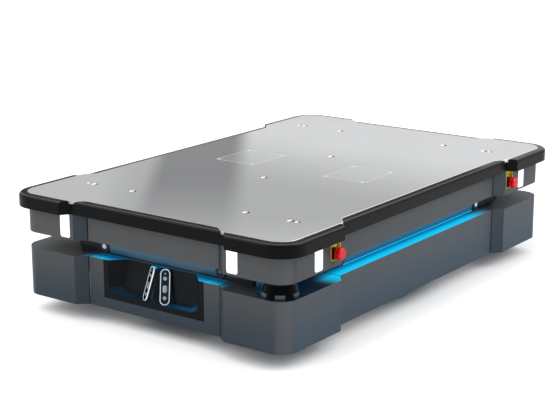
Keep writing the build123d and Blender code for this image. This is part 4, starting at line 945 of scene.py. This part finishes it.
class VEHICLE_OT_cameras(VehicleOperator):
    """Finish the camera recess and model the lenses of the depth cameras"""

    bl_idname = "vehicle.cameras"
    bl_label = "Camera recess"

    def execute(self, context):
        finish(recess_plastic(), "camera_recess")
        finish(camera_alloy(), "depth_cameras")
        finish(gloss_black("camera_glass", 0.12)[0], "camera_windows")
        # Height above the window's middle, radius and stretch of each lens
        layout = (
            (0.0335, 0.0026, 0.0), (0.021, 0.0052, 0.0), (-0.005, 0.0058, 0.008), (-0.0275, 0.005, 0.0),
        )
        sizes = trim()
        windows = [vert.co for vert in nodes["camera_windows"].data.vertices]
        mesh = bmesh.new()
        for side in sides.values():
            centre = middle_of([place for place in windows if place.y * side > 0])
            yaw = side * sizes.camera_yaw
            normal = direction(yaw, sizes.camera_tilt)
            across = Vector((-sin(yaw), cos(yaw), 0))
            up = normal.cross(across)
            turn = Matrix((across, up, normal)).transposed().to_4x4()
            face = centre + normal * (sizes.lens_gap + sizes.lens_depth / 2)
            for height, radius, stretch in layout:
                add_disc(mesh, face + up * height, turn, radius, sizes.lens_depth, stretch)
        piece_from("camera_lenses", mesh, camera_lens_glass())
        return {"FINISHED"}


class VEHICLE_OT_scanners(VehicleOperator):
    """Finish the laser scanners and their brackets"""

    bl_idname = "vehicle.scanners"
    bl_label = "Laser scanners"

    def execute(self, context):
        finish(scanner_glass(), "scanner_windows")
        finish(black_plastic("scanner_body", 0.3), "scanner_bases")
        finish(zinc_steel("bracket_zinc", (214, 216, 219)), "scanner_brackets")
        finish(zinc_steel("scanner_mirror", (225, 228, 232)), *named("scanner_mirror", ends))
        return {"FINISHED"}


class VEHICLE_OT_stops(VehicleOperator):
    """Finish the emergency stops and model the ribs round their collars"""

    bl_idname = "vehicle.stops"
    bl_label = "Emergency stops"

    def execute(self, context):
        finish(coloured_plastic("stop_yellow", colours().stop_yellow, 0.4), "stop_pockets")
        finish(black_plastic("stop_black", 0.25, (16, 16, 18)), "stop_collars")
        finish(coloured_plastic("stop_red", colours().stop_red), *named("stop_head", corners))
        finish(black_plastic("stop_stem_black", 0.3), *named("stop_stem", corners))
        sizes = trim()
        mesh = bmesh.new()
        for stem in named("stop_stem", corners):
            low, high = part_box(stem)
            middle = (low + high) / 2
            side = 1 if middle.y > 0 else -1
            for rib in range(sizes.rib_count):
                reach = cover_reach.y + sizes.rib_first - rib * sizes.rib_pitch
                centre = (middle.x, side * reach, middle.z)
                add_ring(mesh, centre, (0, 1, 0), sizes.collar_radius, sizes.rib_radius)
        ribs = black_plastic("stop_rib_black", 0.25, (20, 20, 22))
        piece_from("stop_collar_ribs", mesh, ribs)
        return {"FINISHED"}


class VEHICLE_OT_controls(VehicleOperator):
    """Finish the control panel with its buttons and selector"""

    bl_idname = "vehicle.controls"
    bl_label = "Controls"

    def execute(self, context):
        finish(black_plastic("control_black", 0.35), "control_panel", "mode_selector")
        finish(coloured_plastic("button_green", linear(40, 160, 80)), "start_button")
        finish(coloured_plastic("button_blue", linear(40, 90, 180)), "reset_button")
        return {"FINISHED"}


class VEHICLE_OT_running_gear(VehicleOperator):
    """Finish the drive wheels, bogies, motors and casters"""

    bl_idname = "vehicle.running_gear"
    bl_label = "Running gear"

    def execute(self, context):
        finish(powder_coat(), "chassis_frame", "deck_frame", *named("bogie_arm", sides))
        finish(alloy("motor_alloy", (160, 163, 168)), *named("gearmotor", sides))
        finish(alloy("hub_alloy", (176, 179, 184)), *named("drive_hub", sides))
        finish(tyre_rubber("tyre_teal", colours().tyre), *named("drive_tyre", sides))
        finish(zinc_steel("caster_zinc", (168, 170, 174)), *named("caster_fork", corners))
        finish(tyre_rubber("caster_tread", linear(72, 74, 78)), *named("caster_wheel", corners))
        finish(zinc_steel("pin_steel", (178, 180, 184)), "bogie_pins")
        finish(zinc_steel("pan_zinc", (150, 152, 156)), "belly_pan")
        finish(black_plastic("battery_case", 0.45, (52, 54, 58)), "battery_pack")
        finish(alloy("controller_alloy", (120, 124, 130), 0.42), "drive_controller")
        return {"FINISHED"}


# Stage
def softbox(name, place, target, size, power):
    """Rectangular area light that faces a target."""
    lamp = bpy.data.lights.new(name, "AREA")
    lamp.shape = "RECTANGLE"
    lamp.size, lamp.size_y = size
    lamp.energy = power
    made = bpy.data.objects.new(name, lamp)
    made.location = place
    made.rotation_euler = (Vector(target) - Vector(place)).to_track_quat("-Z", "Y").to_euler()
    bpy.context.scene.collection.objects.link(made)


def studio_world(strength):
    """White to the camera, and a soft studio all round for the light and the reflections."""
    cool_side, cool_tone = (0.8, 0.6, 0.0), (0.42, 0.56, 0.74)
    world = bpy.data.worlds.new("studio")
    world.use_nodes = True
    tree = world.node_tree
    tree.nodes.clear()
    way = shader_node(tree, "ShaderNodeTexCoord").outputs["Generated"]
    toward = ramp(tree, vector_result(tree, "DOT_PRODUCT", way, cool_side), (0.25, 1.0))
    height = shader_node(tree, "ShaderNodeSeparateXYZ", {0: way}).outputs[2]
    cool = product(tree, toward, ramp(tree, height, (0.9, 0.1)))
    tone = mixed_colour(tree, cool, bright, cool_tone)
    soft = shader_node(tree, "ShaderNodeBackground", {"Color": tone, "Strength": strength})
    white = shader_node(tree, "ShaderNodeBackground", {"Color": bright, "Strength": 1.0})
    camera_ray = shader_node(tree, "ShaderNodeLightPath").outputs["Is Camera Ray"]
    inputs = {0: camera_ray, 1: soft.outputs[0], 2: white.outputs[0]}
    mixed = shader_node(tree, "ShaderNodeMixShader", inputs)
    shader_node(tree, "ShaderNodeOutputWorld", {"Surface": mixed.outputs[0]})
    bpy.context.scene.world = world


def floor_material():
    """White floor that keeps the vehicle's shadow, a little deeper beside its left side."""
    white, shadow_reach, open_level = scaled(bright, 0.86), 0.3, (0.0, 0.74)
    front_fade, rear_fade, left_start, left_fade = (0.64, 0.46), (-0.95, -0.7), (0.0, 0.3), (0.36, 0.56)
    material = bpy.data.materials.new("studio_floor")
    material.use_nodes = True
    tree = material.node_tree
    shader = tree.nodes["Principled BSDF"]
    feed(tree, shader.inputs["Base Color"], white)
    shader.inputs["Roughness"].default_value = 0.9
    shader.inputs["Specular IOR Level"].default_value = 0.0
    camera_ray = shader_node(tree, "ShaderNodeLightPath").outputs["Is Camera Ray"]
    sky = shader_node(tree, "ShaderNodeAmbientOcclusion", {"Distance": shadow_reach}, samples=16)
    _, (x, y, _) = object_place(tree)
    # Painted shadow beside the vehicle's left side
    shade = product(
        tree, ramp(tree, x, front_fade), ramp(tree, x, rear_fade), ramp(tree, y, left_start),
        ramp(tree, y, left_fade, (0.5, 0.0)),
    )
    # The floor's glow to the camera is painted darker where the vehicle hides the sky and in the painted
    # shadow beside its left side
    open_sky = product(
        tree, ramp(tree, sky.outputs["AO"], open_level), calculated(tree, "SUBTRACT", 1.0, shade)
    )
    seen = mixed_colour(tree, product(tree, camera_ray, open_sky), dark, bright)
    give_glow(tree, shader, seen, strength=0.62)
    return material


class VEHICLE_OT_stage(VehicleOperator):
    """Build the floor, the soft light and the camera"""

    bl_idname = "vehicle.stage"
    bl_label = "Studio stage"

    def execute(self, context):
        scene = context.scene
        studio = scene.vehicle_studio
        scene.view_settings.view_transform = "Standard"
        mesh = bmesh.new()
        bmesh.ops.create_circle(mesh, cap_ends=True, segments=96, radius=studio.floor_radius)
        data = bpy.data.meshes.new("studio_floor")
        mesh.to_mesh(data)
        mesh.free()
        data.materials.append(floor_material())
        floor = bpy.data.objects.new("studio_floor", data)
        scene.collection.objects.link(floor)
        studio_world(studio.world_strength)
        middle, key_size, fill_size = (0, 0, 0.2), (2.6, 1.6), (2.2, 1.4)
        softbox("key_softbox", (-1.2, 3.0, 2.6), middle, key_size, studio.key_power)
        softbox("fill_softbox", (3.2, -2.2, 2.4), middle, fill_size, studio.fill_power)
        camera = bpy.data.objects.new("studio_camera", bpy.data.cameras.new("studio_camera"))
        scene.collection.objects.link(camera)
        camera.data.lens = studio.focal_length
        camera.data.sensor_width = 36.0
        camera.location = studio.camera_place
        ahead = direction(studio.camera_heading, studio.camera_dip)
        roll = Matrix.Rotation(studio.camera_roll, 3, "Z")
        camera.rotation_euler = (ahead.to_track_quat("-Z", "Y").to_matrix() @ roll).to_euler()
        scene.camera = camera
        return {"FINISHED"}


operators = (
    VEHICLE_OT_effects,
    VEHICLE_OT_deck,
    VEHICLE_OT_body,
    VEHICLE_OT_slot,
    VEHICLE_OT_cameras,
    VEHICLE_OT_scanners,
    VEHICLE_OT_stops,
    VEHICLE_OT_controls,
    VEHICLE_OT_running_gear,
    VEHICLE_OT_stage,
)

property_groups = {
    "vehicle_colours": VehicleColours,
    "vehicle_trim": VehicleTrim,
    "vehicle_studio": VehicleStudio,
}


class VEHICLE_PT_panel(bpy.types.Panel):
    """Sidebar panel with every step of the vehicle's finish"""

    bl_label = "Guided vehicle"
    bl_idname = "VEHICLE_PT_panel"
    bl_space_type = "VIEW_3D"
    bl_region_type = "UI"
    bl_category = "Vehicle"

    def draw(self, context):
        for operator in operators:
            self.layout.operator(operator.bl_idname)
        for group in property_groups:
            settings = getattr(context.scene, group)
            for name in settings.bl_rna.properties.keys():
                if name not in ("rna_type", "name"):
                    self.layout.prop(settings, name)


def register():
    """Register the classes and hang the settings on the scene."""
    for name, group in property_groups.items():
        bpy.utils.register_class(group)
        setattr(bpy.types.Scene, name, bpy.props.PointerProperty(type=group))
    for item in (*operators, VEHICLE_PT_panel):
        bpy.utils.register_class(item)


def unregister():
    """Take the classes and settings away again."""
    for item in reversed((*operators, VEHICLE_PT_panel)):
        bpy.utils.unregister_class(item)
    for name, group in property_groups.items():
        delattr(bpy.types.Scene, name)
        bpy.utils.unregister_class(group)


def main():
    """Run every operator in order."""
    register()
    for operator in operators:
        family, name = operator.bl_idname.split(".")
        getattr(getattr(bpy.ops, family), name)()


if __name__ == "__main__":
    main()
